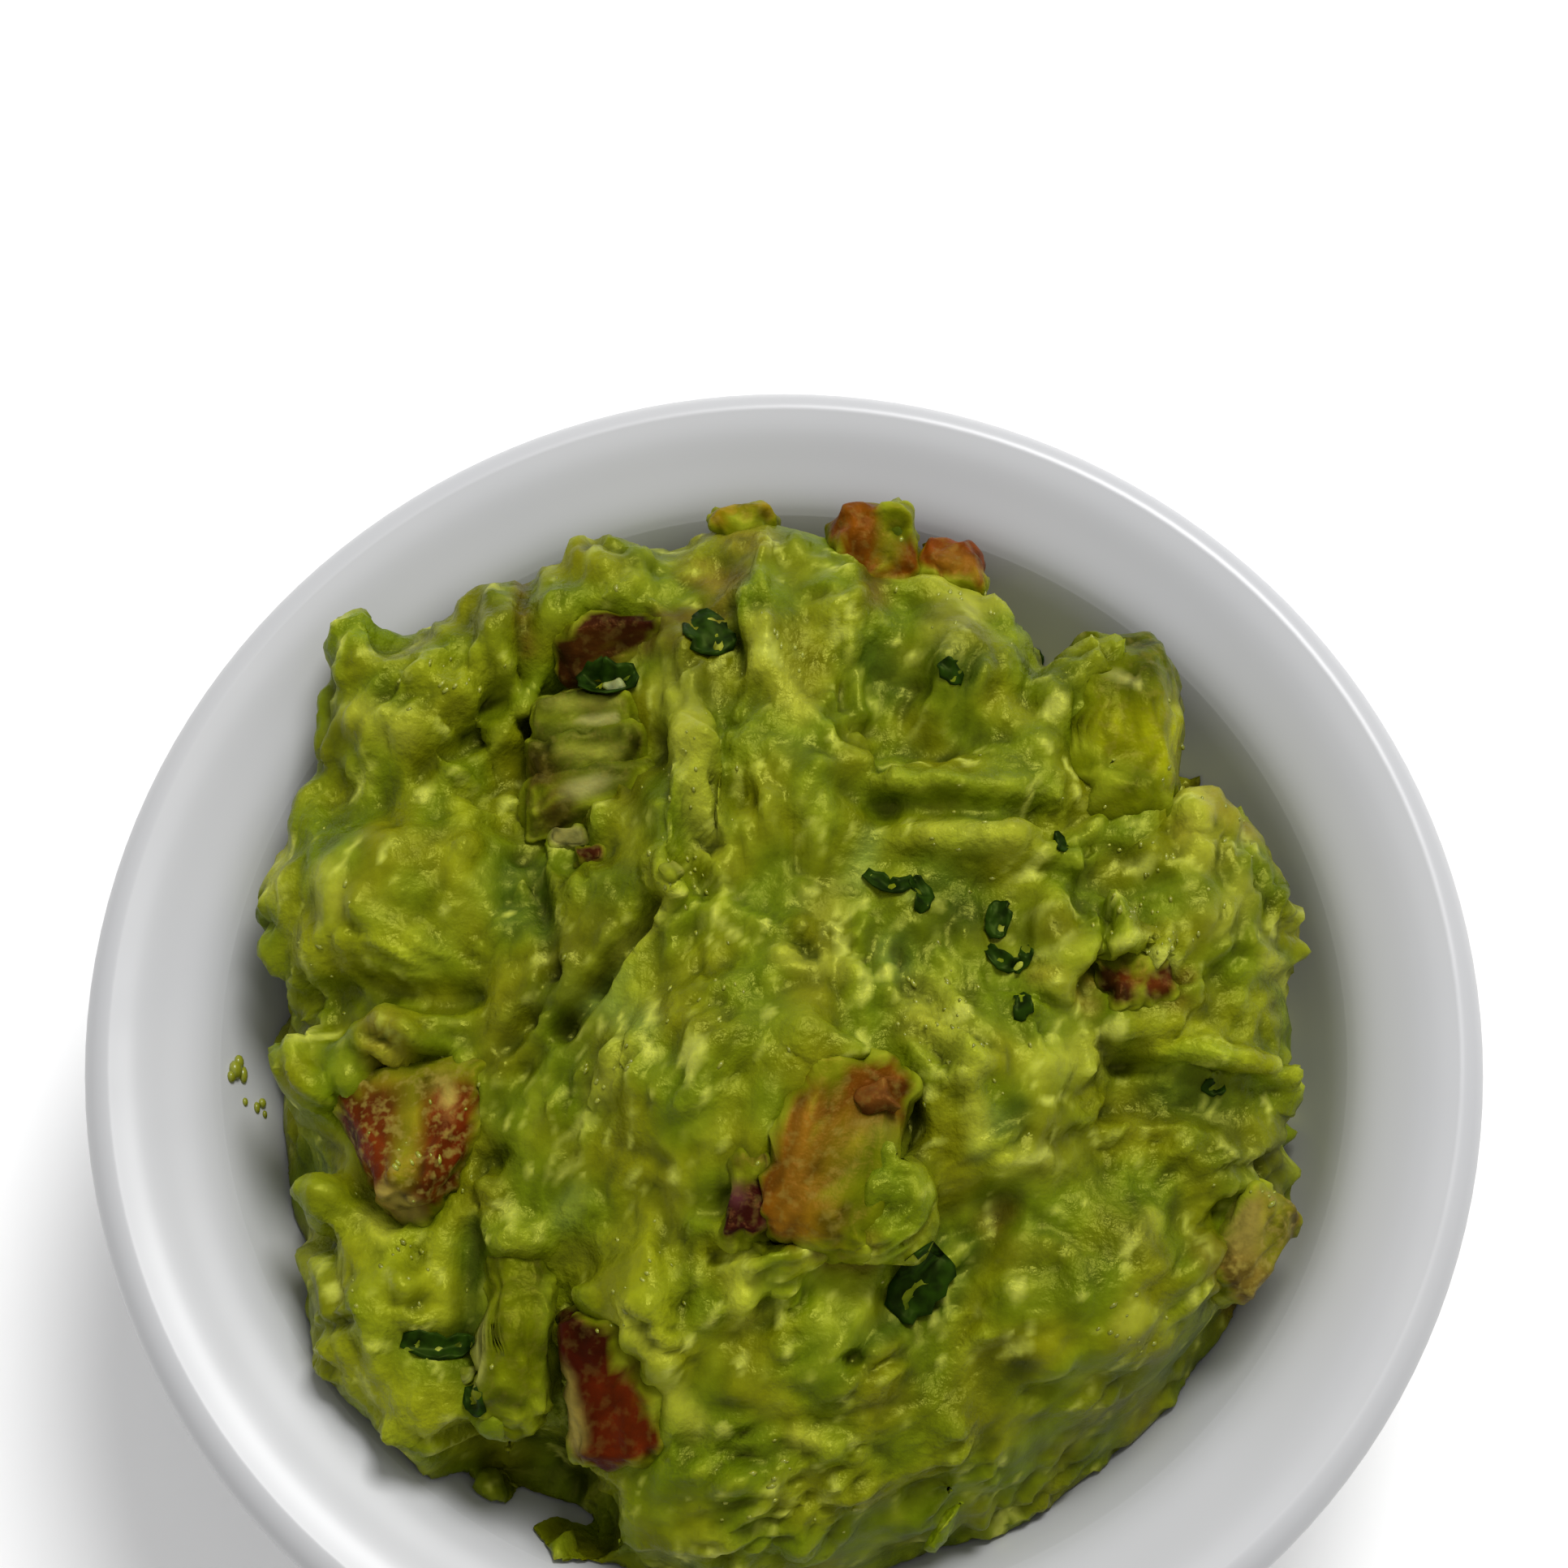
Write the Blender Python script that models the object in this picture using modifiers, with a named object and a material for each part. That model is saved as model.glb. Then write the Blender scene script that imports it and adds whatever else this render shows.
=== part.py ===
"""Guacamole heaped in a small white rimmed bowl.

The bowl is one turned shell of glazed ceramic. The guacamole fills its well and stands up over the rim as
one uneven heap of mashed avocado, with diced tomato, onion and larger avocado chunks pressed into it.
Every inlaid piece is its own solid and sits in a pocket of the mash with a hairline gap round it.
The origin is the centre of the foot's underside, +Z is up and +Y is the far side of the bowl.
"""

import math

import bmesh
import bpy
from mathutils import Euler, Matrix, Vector, noise

MM = 0.001
GAP = 0.3 * MM  # between touching pieces

# Bowl
RIM_RADIUS = 57 * MM
BOWL_HEIGHT = 34 * MM
LIP_RADIUS = 2.2 * MM
FLANGE_INNER_RADIUS = 47 * MM
FLANGE_DROP = 3 * MM
FLANGE_THICKNESS = 4.4 * MM
WELL_FLOOR_RADIUS = 22 * MM
WELL_FLOOR_HEIGHT = 6 * MM
WELL_BEND_RADIUS = 33 * MM  # where the floor's line and the wall's line meet
WELL_TOP_RADIUS = 46.4 * MM
WELL_TOP_HEIGHT = 29.6 * MM
WALL_OUTER_RADIUS = 50 * MM
WALL_BEND_RADIUS = 41 * MM
FOOT_RADIUS = 30 * MM
FOOT_WIDTH = 3.6 * MM
FOOT_HEIGHT = 2.6 * MM
FOOT_CHAMFER = 0.5 * MM
TURN_STEPS = 48

# Guacamole
MASH_LEVEL = 22 * MM  # the mash closes the whole well up to here; the lumps stand on it
HEADROOM = 60 * MM  # top of the space that the heap may take
VOXEL = 1.2 * MM
RELIEF_SIZE = 6.5 * MM
RELIEF_DEPTH = 1.5 * MM
MASH_SHARE_OF_FACES = 0.09

# Lumps of mash in mm: centre x and y, top, half widths x, y and z, turn about Z in degrees.
LUMPS = {
    "bed": (0, -2, 37.0, 42.6, 42.0, 13.0, 0),
    "core": (1, -2, 43.6, 38.5, 37.0, 20.0, 0),
    "north_field": (-1, 29, 41.4, 18.0, 13.0, 10.0, 0),
    "east_field": (27, 4, 39.6, 15.0, 17.0, 12.0, 0),
    "south_field": (2, -29, 39.8, 22.0, 13.0, 12.0, 0),
    "west_field": (-27, 8, 38.8, 15.5, 17.0, 12.0, 0),
    "south_west_field": (-26, -20, 37.4, 13.0, 15.0, 12.0, 0),
    "north_west": (-30.0, 24.0, 40.4, 10.0, 9.8, 10, 15),
    "north_west_horn": (-35.6, 29.6, 39.5, 2.3, 4.2, 5, 15),
    "west": (-31, 9.5, 40.6, 12.6, 11.2, 10, 0),
    "west_low": (-35.0, -5.6, 37.6, 5.0, 6.0, 8, 0),
    "north_west_column": (-24, 31.0, 40.8, 4.6, 7.4, 8, 12),
    "north_west_block": (-21, 34.0, 40.0, 6.6, 5.2, 8, 5),
    "north": (-14.5, 36.4, 40.0, 7.4, 6.2, 9, 0),
    "north_edge": (-2, 38.2, 40.0, 10.5, 5.6, 9, 0),
    "north_ridge": (-2, 29, 43.2, 3.4, 12, 6, 0),
    "slant_ridge": (-8.8, 15, 45.2, 2.8, 11, 6, -8),
    "upper_middle": (0.5, 16, 44.4, 8.0, 11, 8, 0),
    "north_column": (5.0, 31, 41.8, 5.4, 9.4, 8, 0),
    "north_east": (14.5, 28, 42.0, 8.0, 9.4, 9, 0),
    "east_saddle": (19.5, 19.0, 42.0, 8.0, 8.5, 9, 0),
    "cross_ridge_far": (14, 16.8, 44.0, 9.0, 2.8, 5, 0),
    "cross_ridge_near": (15.6, 12.0, 44.2, 9.4, 2.6, 5, -4),
    "east": (31.6, 8.0, 40.8, 11.4, 10.6, 11, 0),
    "east_ridge": (22, 4, 43.2, 3.8, 7.6, 6, 10),
    "east_bar": (32.4, -4.4, 39.2, 9.6, 4.0, 8, -10),
    "east_edge": (35.6, 1.0, 38.8, 6.8, 8.0, 10, 0),
    "east_low": (31.4, -11.5, 38.6, 10.6, 7.0, 11, 0),
    "centre": (-3, -7, 46.2, 14, 15, 11, 0),
    "centre_right": (14, -8, 44.8, 11, 11, 9, 0),
    "centre_near": (-8, -22.5, 43.4, 7.6, 7.8, 8, 0),
    "south_middle": (1, -27, 41.6, 10.5, 7.5, 8, 0),
    "south_east": (21.5, -21.5, 40.8, 14.5, 11.0, 12, 25),
    "south_east_edge": (27.5, -27.0, 37.4, 11.0, 6.4, 12, 38),
    "south_south_east": (13, -33.0, 38.4, 12.0, 9.0, 12, 20),
    "south": (-3.5, -36.0, 38.2, 15.0, 9.2, 12, 0),
    "south_west": (-30.4, -23, 38.6, 8.0, 9.6, 11, 10),
    "south_west_end": (-26.6, -30.6, 37.6, 6.6, 6.4, 11, 0),
    "south_west_bed": (-29, -12, 36.8, 9.4, 8.6, 11, 0),
    "left_valley": (-20, -10, 38.4, 5.0, 11, 8, 0),
}

# Gaps beside the heap where the bowl's wall shows, and folds pressed into it:
# centre x, y and z, half widths x, y and z in mm, turn about Z in degrees.
HOLLOWS = {
    "north_east_gap": (23.5, 38.3, 32, 7.3, 7.0, 10, 0),
    "south_west_gap": (-21.0, -39.0, 32, 7.4, 6.8, 10, 0),
    "left_fold": (-14.4, 1.2, 43, 1.2, 7.5, 4.5, -36),
    "north_west_fold": (-23.5, 17, 42, 2.0, 10, 6, 30),
    "north_west_dip": (-17, 14, 43, 4.0, 6.0, 6, 10),
    "south_east_fold": (11, -24, 43, 1.6, 11, 5, -50),
}

# Diced tomato in mm: centre x, y and z, size along x, y and z, turns about X, Y and Z in degrees,
# then the width of its -Y end as a share of the other end's.
TOMATO = {
    "tomato_1": (4.2, -13.2, 41.2, 9.4, 15.5, 10.0, -6, 6, -14, 1),
    "tomato_2": (-28.6, -11.4, 34.8, 12.8, 10.2, 9.0, -12, -8, -12, 0.4),
    "tomato_3": (-12.2, -30.0, 35.4, 7.0, 10.6, 9.2, 20, -6, 14, 0.8),
    "tomato_4": (7.7, 39.8, 34.3, 6.6, 7.8, 10.4, 6, 0, 4, 1),
    "tomato_5": (14.4, 38.0, 33.8, 4.6, 5.6, 9.0, 0, 0, -4, 1),
    "tomato_6": (-3.2, 42.2, 33.6, 4.8, 4.6, 9.0, 10, 0, 5, 1),
    "tomato_7": (-14.2, 31.4, 35.2, 11.0, 5.4, 8.0, 28, 0, 4, 1),
    "tomato_8": (28.0, 0.8, 37.9, 7.4, 5.6, 6.0, -8, 8, 10, 0.8),
    "tomato_9": (35.6, -18.4, 31.4, 6.0, 9.0, 10.0, 0, 22, -32, 0.8),
}

# The onion piece and the larger avocado chunks in mm and degrees, laid out as the tomato is.
ONION = {"onion_1": (-16.4, 21.4, 36.2, 10.0, 9.0, 7.0, 16, 0, 10, 1)}
AVOCADO = {
    "avocado_1": (28.4, 23.8, 34.0, 12.0, 20.6, 12.5, 0, -6, -14, 1),
    "avocado_2": (-20.4, -26.4, 35.0, 6.0, 14.4, 9.0, 0, 0, -4, 1),
}

# The draw that skews and dents the pieces: the same number always gives the same shapes.
UNEVENNESS_SEED = 1795409792

PART = bpy.data.collections.new("guacamole_bowl")
CUTTERS = bpy.data.collections.new("cutters")


def clear_scene():
    for obj in list(bpy.data.objects):
        bpy.data.objects.remove(obj)
    for collection in (PART, CUTTERS):
        bpy.context.scene.collection.children.link(collection)


def material(name, color, roughness):
    made = bpy.data.materials.new(name)
    made.use_nodes = True
    shader = made.node_tree.nodes["Principled BSDF"]
    shader.inputs["Base Color"].default_value = (*color, 1)
    shader.inputs["Roughness"].default_value = roughness
    shader.inputs["Metallic"].default_value = 0
    return made


def add_object(name, bm, collection, finish=None):
    """The bmesh as an object; it is freed here."""
    mesh = bpy.data.meshes.new(name)
    bm.to_mesh(mesh)
    bm.free()
    mesh.shade_smooth()
    made = bpy.data.objects.new(name, mesh)
    collection.objects.link(made)
    if collection == CUTTERS:
        made.hide_render = True
        made.display_type = "WIRE"
    if finish:
        mesh.materials.append(finish)
    return made


def turned(name, profile, collection, finish=None):
    """A profile of (radius, height) pairs, listed down its outer side, turned about Z."""
    bm = bmesh.new()
    corners = [bm.verts.new((radius, 0, height)) for radius, height in profile]
    for start, end in zip(corners, corners[1:]):
        bm.edges.new((start, end))
    made = add_object(name, bm, collection, finish)
    screw = made.modifiers.new("turn", "SCREW")
    screw.axis = "Z"
    screw.steps = screw.render_steps = TURN_STEPS
    screw.use_merge_vertices = True
    screw.merge_threshold = 0.00001
    return made


def arc(centre, radii, start, end, steps):
    """Points on an ellipse's arc, from start to end degrees."""
    angles = [math.radians(start + (end - start) * step / steps) for step in range(steps + 1)]
    return [(centre[0] + radii[0] * math.cos(a), centre[1] + radii[1] * math.sin(a)) for a in angles]


def bend(start, corner, end, steps):
    """Points on the curve that leaves start towards corner and reaches end from it."""
    shares = [step / steps for step in range(steps + 1)]
    return [
        tuple((1 - t) ** 2 * a + 2 * t * (1 - t) * b + t**2 * c for a, b, c in zip(start, corner, end))
        for t in shares
    ]


def well_profile(inset):
    """The inside of the bowl from the lip's crest down to the well's floor, raised off it by inset."""
    lip = RIM_RADIUS - LIP_RADIUS
    flange_inner_height = BOWL_HEIGHT - FLANGE_DROP
    floor_height = WELL_FLOOR_HEIGHT + inset
    flange = [
        (lip, BOWL_HEIGHT + inset),
        (lip - 2.0 * MM, BOWL_HEIGHT - 0.6 * MM + inset),
        (lip - 4.4 * MM, flange_inner_height + 1.2 * MM + inset),
        (FLANGE_INNER_RADIUS + 1.2 * MM - inset, flange_inner_height + 0.2 * MM + inset),
        (FLANGE_INNER_RADIUS + 0.2 * MM - inset, flange_inner_height - 0.5 * MM + inset),
    ]
    wall = bend(
        (WELL_TOP_RADIUS - inset, WELL_TOP_HEIGHT),
        (WELL_BEND_RADIUS - inset, floor_height),
        (WELL_FLOOR_RADIUS - inset, floor_height),
        6,
    )
    return flange + wall + [(0, floor_height)]


def bowl_profile():
    """The bowl's section: out over the lip, down the outer wall, round the foot, then back down the inside."""
    lip_centre = (RIM_RADIUS - LIP_RADIUS, BOWL_HEIGHT - LIP_RADIUS)
    under_flange = BOWL_HEIGHT - FLANGE_DROP - FLANGE_THICKNESS
    lip = arc(lip_centre, (LIP_RADIUS, LIP_RADIUS), 90, -75, 4)
    wall = bend(
        (WALL_OUTER_RADIUS, under_flange),
        (WALL_BEND_RADIUS, FOOT_HEIGHT),
        (FOOT_RADIUS + 1 * MM, FOOT_HEIGHT),
        5,
    )
    foot_inner = FOOT_RADIUS - FOOT_WIDTH
    foot = [
        (FOOT_RADIUS, FOOT_CHAMFER),
        (FOOT_RADIUS - FOOT_CHAMFER, 0),
        (foot_inner + FOOT_CHAMFER, 0),
        (foot_inner, FOOT_CHAMFER),
        (foot_inner - 1 * MM, FOOT_HEIGHT - 0.6 * MM),
        (0, FOOT_HEIGHT - 0.6 * MM),
    ]
    inside = list(reversed(well_profile(0)))
    return lip + [(WALL_OUTER_RADIUS + 1 * MM, under_flange + 0.3 * MM)] + wall + foot + inside


def bowl():
    glaze = material("white glazed ceramic", (0.76, 0.77, 0.78), 0.12)
    turned("bowl", bowl_profile(), PART, glaze)


def heap_space():
    """The room that the guacamole may fill: everything inside the bowl and above it, a gap off its surface."""
    outer = RIM_RADIUS + GAP
    top = [(0, HEADROOM), (outer, HEADROOM), (outer, BOWL_HEIGHT + GAP)]
    return turned("heap_space", top + well_profile(GAP), CUTTERS)


def dice_bmesh(size, near, seed, skew=0.16, unevenness=0.5 * MM):
    """A cut cube with rounded edges and slightly skewed faces, its -Y end this share as wide as the other."""
    bm = bmesh.new()
    bmesh.ops.create_cube(bm, size=1)
    for vert in bm.verts:
        draw = noise.noise_vector(vert.co * 3 + Vector((seed, seed * 0.7, 0)))
        vert.co += draw * skew
        vert.co.x *= near if vert.co.y < 0 else 1
    bmesh.ops.scale(bm, vec=size, verts=bm.verts)
    bmesh.ops.bevel(
        bm,
        geom=bm.edges,
        offset=min(size) * 0.2,
        segments=2,
        profile=0.5,
        affect="EDGES",
        material=-1,
    )
    for vert in bm.verts:
        vert.co += noise.noise_vector(vert.co / (4 * MM) + Vector((0, seed, 0))) * unevenness
    bmesh.ops.triangulate(bm, faces=bm.faces)
    return bm


def chunk_bmesh(size, near, seed):
    """A soft avocado chunk: a boxy ellipsoid with a few shallow dents."""
    bm = bmesh.new()
    bmesh.ops.create_icosphere(bm, subdivisions=3, radius=1)
    for vert in bm.verts:
        boxy = Vector([math.copysign(abs(c) ** 0.75, c) for c in vert.co])
        dent = 1 + 0.12 * noise.noise(vert.co * 1.6 + Vector((seed, 0, 0)))
        vert.co = boxy * dent * 0.5
        vert.co.x *= near if vert.co.y < 0 else 1
    bmesh.ops.scale(bm, vec=size, verts=bm.verts)
    return bm


def inlay(name, values, make, seed, finish):
    """One inlaid piece and, as a cutter, the pocket that it lies in. Returns the pocket."""
    place = Vector(values[0:3]) * MM
    turn = Euler([math.radians(angle) for angle in values[6:9]]).to_matrix().to_4x4()
    for target, grow in ((PART, 0), (CUTTERS, GAP)):
        bm = make(Vector(values[3:6]) * MM, values[9], seed)
        bm.normal_update()
        for vert in bm.verts:
            vert.co += vert.normal * grow
        made = add_object(name if grow == 0 else f"{name}_pocket", bm, target, finish)
        made.matrix_world = Matrix.Translation(place) @ turn
    return made


def placed_ellipsoid(x, y, z, half_x, half_y, half_z, turn):
    """The matrix that makes a unit sphere this ellipsoid."""
    place = Matrix.Translation(Vector((x, y, z)) * MM)
    stretch = Matrix.Diagonal(Vector((half_x, half_y, half_z, 1 / MM)) * MM)
    return place @ Matrix.Rotation(math.radians(turn), 4, "Z") @ stretch


def hollow(name, values):
    bm = bmesh.new()
    bmesh.ops.create_icosphere(bm, subdivisions=2, radius=1, matrix=placed_ellipsoid(*values))
    return add_object(name, bm, CUTTERS)


def mash(space, cutters):
    """One solid of mash: the lumps and the filling below them, fitted to the bowl and cut by its neighbours."""
    avocado = material("mashed avocado", (0.30, 0.33, 0.03), 0.35)
    bm = bmesh.new()
    for x, y, top, half_x, half_y, half_z, turn in LUMPS.values():
        lump = placed_ellipsoid(x, y, top - half_z, half_x, half_y, half_z, turn)
        bmesh.ops.create_icosphere(bm, subdivisions=4, radius=1, matrix=lump)
    filling = Matrix.Translation((0, 0, MASH_LEVEL / 2))
    bmesh.ops.create_cone(
        bm,
        cap_ends=True,
        segments=TURN_STEPS,
        radius1=WALL_OUTER_RADIUS,
        radius2=WALL_OUTER_RADIUS,
        depth=MASH_LEVEL,
        matrix=filling,
    )
    made = add_object("mash", bm, PART, avocado)
    remesh = made.modifiers.new("join lumps", "REMESH")
    remesh.mode = "VOXEL"
    remesh.voxel_size = VOXEL
    smooth = made.modifiers.new("soften", "SMOOTH")
    smooth.factor = 0.5
    smooth.iterations = 2
    relief = made.modifiers.new("uneven", "DISPLACE")
    relief.texture = bpy.data.textures.new("mash relief", "CLOUDS")
    relief.texture.noise_scale = RELIEF_SIZE
    relief.texture.noise_depth = 2
    relief.strength = 2 * RELIEF_DEPTH
    relief.texture_coords = "LOCAL"
    reduce = made.modifiers.new("reduce", "DECIMATE")
    reduce.ratio = MASH_SHARE_OF_FACES
    fit = made.modifiers.new("fit the bowl", "BOOLEAN")
    fit.operation = "INTERSECT"
    fit.object = space
    for cutter in cutters:
        cut = made.modifiers.new(cutter.name, "BOOLEAN")
        cut.operation = "DIFFERENCE"
        cut.object = cutter


noise.seed_set(UNEVENNESS_SEED)
clear_scene()
bowl()
cutters = [hollow(name, values) for name, values in HOLLOWS.items()]
tomato_flesh = material("ripe tomato", (0.30, 0.05, 0.015), 0.25)
onion_flesh = material("onion", (0.42, 0.40, 0.18), 0.3)
avocado_flesh = material("avocado flesh", (0.33, 0.36, 0.04), 0.3)
for pieces, shape, flesh in (
    (TOMATO, dice_bmesh, tomato_flesh),
    (ONION, dice_bmesh, onion_flesh),
    (AVOCADO, chunk_bmesh, avocado_flesh),
):
    for number, (name, values) in enumerate(pieces.items()):
        cutters.append(inlay(name, values, shape, number, flesh))
mash(heap_space(), cutters)
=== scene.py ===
"""Guacamole heaped in a small white rimmed bowl: the finished surfaces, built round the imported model."""

import math
import random

import bmesh
import bpy
import numpy as np
from mathutils import Euler, Matrix, Vector, noise
from mathutils.bvhtree import BVHTree


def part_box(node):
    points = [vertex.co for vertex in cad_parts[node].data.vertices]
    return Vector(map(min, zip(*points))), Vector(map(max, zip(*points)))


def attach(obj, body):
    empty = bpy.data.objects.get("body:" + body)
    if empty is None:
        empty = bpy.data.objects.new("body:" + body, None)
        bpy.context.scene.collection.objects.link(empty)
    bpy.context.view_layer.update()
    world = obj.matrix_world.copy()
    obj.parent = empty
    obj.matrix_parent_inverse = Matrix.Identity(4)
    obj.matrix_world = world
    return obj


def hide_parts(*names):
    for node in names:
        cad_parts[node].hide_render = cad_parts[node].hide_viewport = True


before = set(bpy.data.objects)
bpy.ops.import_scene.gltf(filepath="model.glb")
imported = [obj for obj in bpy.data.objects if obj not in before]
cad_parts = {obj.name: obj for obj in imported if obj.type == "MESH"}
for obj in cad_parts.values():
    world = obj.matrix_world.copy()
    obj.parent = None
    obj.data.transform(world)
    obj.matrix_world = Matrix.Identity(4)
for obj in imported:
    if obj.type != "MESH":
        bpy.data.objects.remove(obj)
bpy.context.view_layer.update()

# ---------------------------------------------------------------------------------------------------------
# Table and light. The bowl stands on a plain white table top, under one large soft light behind it and to
# the right, with a weak sky all round. The viewer looks down into the bowl from the near side.
MM = 0.001
RIM_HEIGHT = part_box("bowl")[1].z
VIEW_DOWN = math.radians(70.5)
VIEW_DISTANCE = 231.2 * MM
VIEW_POINT = Vector((0, 20.5 * MM, RIM_HEIGHT - 2.2 * MM))
LENS = 62.9
TABLE_SIZE = 3.0
TABLE_WHITE = "FBFBFB"
KEY_FROM = Vector((0.22, 0.50, 0.84))
KEY_DISTANCE = 0.9
KEY_SIZE = 0.38
KEY_POWER = 6.4
SKY_STRENGTH = 0.58


def linear(hex_color, alpha=1.0):
    """An sRGB hex colour as linear red, green, blue and alpha."""
    channels = [int(hex_color[at : at + 2], 16) / 255 for at in (0, 2, 4)]
    return [c / 12.92 if c < 0.04045 else ((c + 0.055) / 1.055) ** 2.4 for c in channels] + [alpha]


def add_node(tree, kind, settings=None, **values):
    """A node with its settings and its input values, where a value that is an output is linked."""
    made = tree.nodes.new("ShaderNode" + kind)
    for key, value in (settings or {}).items():
        setattr(made, key, value)
    for key, value in values.items():
        socket = made.inputs[int(key[1:])] if key[1:].isdigit() else made.inputs[key.replace("_", " ")]
        if isinstance(value, bpy.types.NodeSocket):
            tree.links.new(value, socket)
        else:
            socket.default_value = value
    return made


def new_material(name):
    """An empty Principled material: its tree, its shader and its object coordinates."""
    made = bpy.data.materials.new(name)
    made.use_nodes = True
    tree = made.node_tree
    coordinates = add_node(tree, "TexCoord").outputs["Object"]
    return made, tree, tree.nodes["Principled BSDF"], coordinates


def add_piece(name, bm, *finishes):
    """The bmesh as a smooth object at the origin; the bmesh is freed."""
    mesh = bpy.data.meshes.new(name)
    bm.to_mesh(mesh)
    bm.free()
    mesh.shade_smooth()
    for finish in finishes:
        mesh.materials.append(finish)
    made = bpy.data.objects.new(name, mesh)
    bpy.context.scene.collection.objects.link(made)
    return made


table_paint, tree, shader, where = new_material("matt white table top")
shader.inputs["Base Color"].default_value = linear(TABLE_WHITE)
shader.inputs["Roughness"].default_value = 0.9
shader.inputs["Specular IOR Level"].default_value = 0.1
bm = bmesh.new()
bmesh.ops.create_grid(bm, x_segments=1, y_segments=1, size=TABLE_SIZE / 2)
table = add_piece("table_top", bm, table_paint)

camera = bpy.data.objects.new("viewer", bpy.data.cameras.new("viewer"))
camera.data.sensor_width = 36
camera.data.lens = LENS
camera.data.clip_start = 0.01
camera.rotation_euler = (math.pi / 2 - VIEW_DOWN, 0, 0)
looking = camera.rotation_euler.to_matrix() @ Vector((0, 0, -1))
camera.location = VIEW_POINT - looking * VIEW_DISTANCE
bpy.context.scene.collection.objects.link(camera)
bpy.context.scene.camera = camera

key = bpy.data.objects.new("soft_light", bpy.data.lights.new("soft_light", "AREA"))
key.data.shape = "DISK"
key.data.size = KEY_SIZE
key.data.energy = KEY_POWER
key.location = KEY_FROM.normalized() * KEY_DISTANCE
key.rotation_euler = KEY_FROM.to_track_quat("Z", "Y").to_euler()
bpy.context.scene.collection.objects.link(key)
sky = bpy.data.worlds.new("sky")
sky.use_nodes = True
sky.node_tree.nodes["Background"].inputs["Strength"].default_value = SKY_STRENGTH
sky.node_tree.nodes["Background"].inputs["Color"].default_value = linear("FFFFFF")
bpy.context.scene.world = sky
bpy.context.scene.view_settings.view_transform = "Standard"

# ---------------------------------------------------------------------------------------------------------
# The bowl: one turned shell of white stoneware, thrown with a wide rim and a foot ring, glazed all over
# except for the ring that it was fired on, where the pale body shows.
RIM_RADIUS = 57 * MM
LIP_RADIUS = 2.2 * MM
FLANGE_INNER_RADIUS = 47 * MM
FLANGE_DROP = 3 * MM
FLANGE_THICKNESS = 4.4 * MM
WELL_FLOOR_RADIUS = 22 * MM
WELL_FLOOR_HEIGHT = 6 * MM
WELL_BEND_RADIUS = 33 * MM
WELL_TOP_RADIUS = 46.4 * MM
WELL_TOP_HEIGHT = 29.6 * MM
WALL_OUTER_RADIUS = 50 * MM
WALL_BEND_RADIUS = 41 * MM
FOOT_RADIUS = 30 * MM
FOOT_WIDTH = 3.6 * MM
FOOT_HEIGHT = 2.6 * MM
FOOT_CHAMFER = 0.5 * MM
TURN_STEPS = 144
GLAZE, GLAZE_DRIFT = "B4B5B8", "B9B9B9"
# The dark olive of the painted green reflection and painted shade on the well's right wall.
WALL_GREEN_BOUNCE = "60621C"
BISCUIT = "CFC8BC"


def arc(centre, radii, start, end, steps):
    """Points on an ellipse's arc, from start to end degrees."""
    angles = [math.radians(start + (end - start) * step / steps) for step in range(steps + 1)]
    return [(centre[0] + radii[0] * math.cos(a), centre[1] + radii[1] * math.sin(a)) for a in angles]


def bend(start, corner, end, steps):
    """Points on the curve that leaves start towards corner and reaches end from it."""
    shares = [step / steps for step in range(steps + 1)]
    return [
        tuple((1 - t) ** 2 * a + 2 * t * (1 - t) * b + t**2 * c for a, b, c in zip(start, corner, end))
        for t in shares
    ]


def smooth_curve(points, steps):
    """A curve through the points, with this many pieces between each two."""
    padded = [points[0], *points, points[-1]]
    made = []
    for before, start, end, after in zip(padded, padded[1:], padded[2:], padded[3:]):
        for step in range(steps):
            t = step / steps
            made.append(
                tuple(
                    0.5 * (2 * b + (c - a) * t + (2 * a - 5 * b + 4 * c - d) * t * t)
                    + 0.5 * (3 * b - a - 3 * c + d) * t**3
                    for a, b, c, d in zip(before, start, end, after)
                )
            )
    return made + [points[-1]]


lip = RIM_RADIUS - LIP_RADIUS
flange_height = RIM_HEIGHT - FLANGE_DROP
under_flange = flange_height - FLANGE_THICKNESS
foot_inner = FOOT_RADIUS - FOOT_WIDTH
outside = arc((lip, RIM_HEIGHT - LIP_RADIUS), (LIP_RADIUS, LIP_RADIUS), 90, -75, 14)
outside += [(WALL_OUTER_RADIUS + 1 * MM, under_flange + 0.3 * MM)]
outside += bend(
    (WALL_OUTER_RADIUS, under_flange),
    (WALL_BEND_RADIUS, FOOT_HEIGHT),
    (FOOT_RADIUS + 1 * MM, FOOT_HEIGHT),
    20,
)
outside += [
    (FOOT_RADIUS, FOOT_CHAMFER),
    (FOOT_RADIUS - FOOT_CHAMFER, 0),
    (foot_inner + FOOT_CHAMFER, 0),
    (foot_inner, FOOT_CHAMFER),
    (foot_inner - 1 * MM, FOOT_HEIGHT - 0.6 * MM),
    (0, FOOT_HEIGHT - 0.6 * MM),
]
well_wall = bend(
    (WELL_FLOOR_RADIUS, WELL_FLOOR_HEIGHT),
    (WELL_BEND_RADIUS, WELL_FLOOR_HEIGHT),
    (WELL_TOP_RADIUS, WELL_TOP_HEIGHT),
    20,
)
flange = smooth_curve(
    [
        well_wall[-1],
        (FLANGE_INNER_RADIUS + 0.2 * MM, flange_height - 0.6 * MM),
        (FLANGE_INNER_RADIUS + 1.4 * MM, flange_height + 0.2 * MM),
        (lip - 4.4 * MM, flange_height + 1.2 * MM),
        (lip - 2.0 * MM, RIM_HEIGHT - 0.6 * MM),
        (lip, RIM_HEIGHT),
    ],
    6,
)
section = outside + [(0, WELL_FLOOR_HEIGHT)] + well_wall + flange[1:-1]
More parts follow.
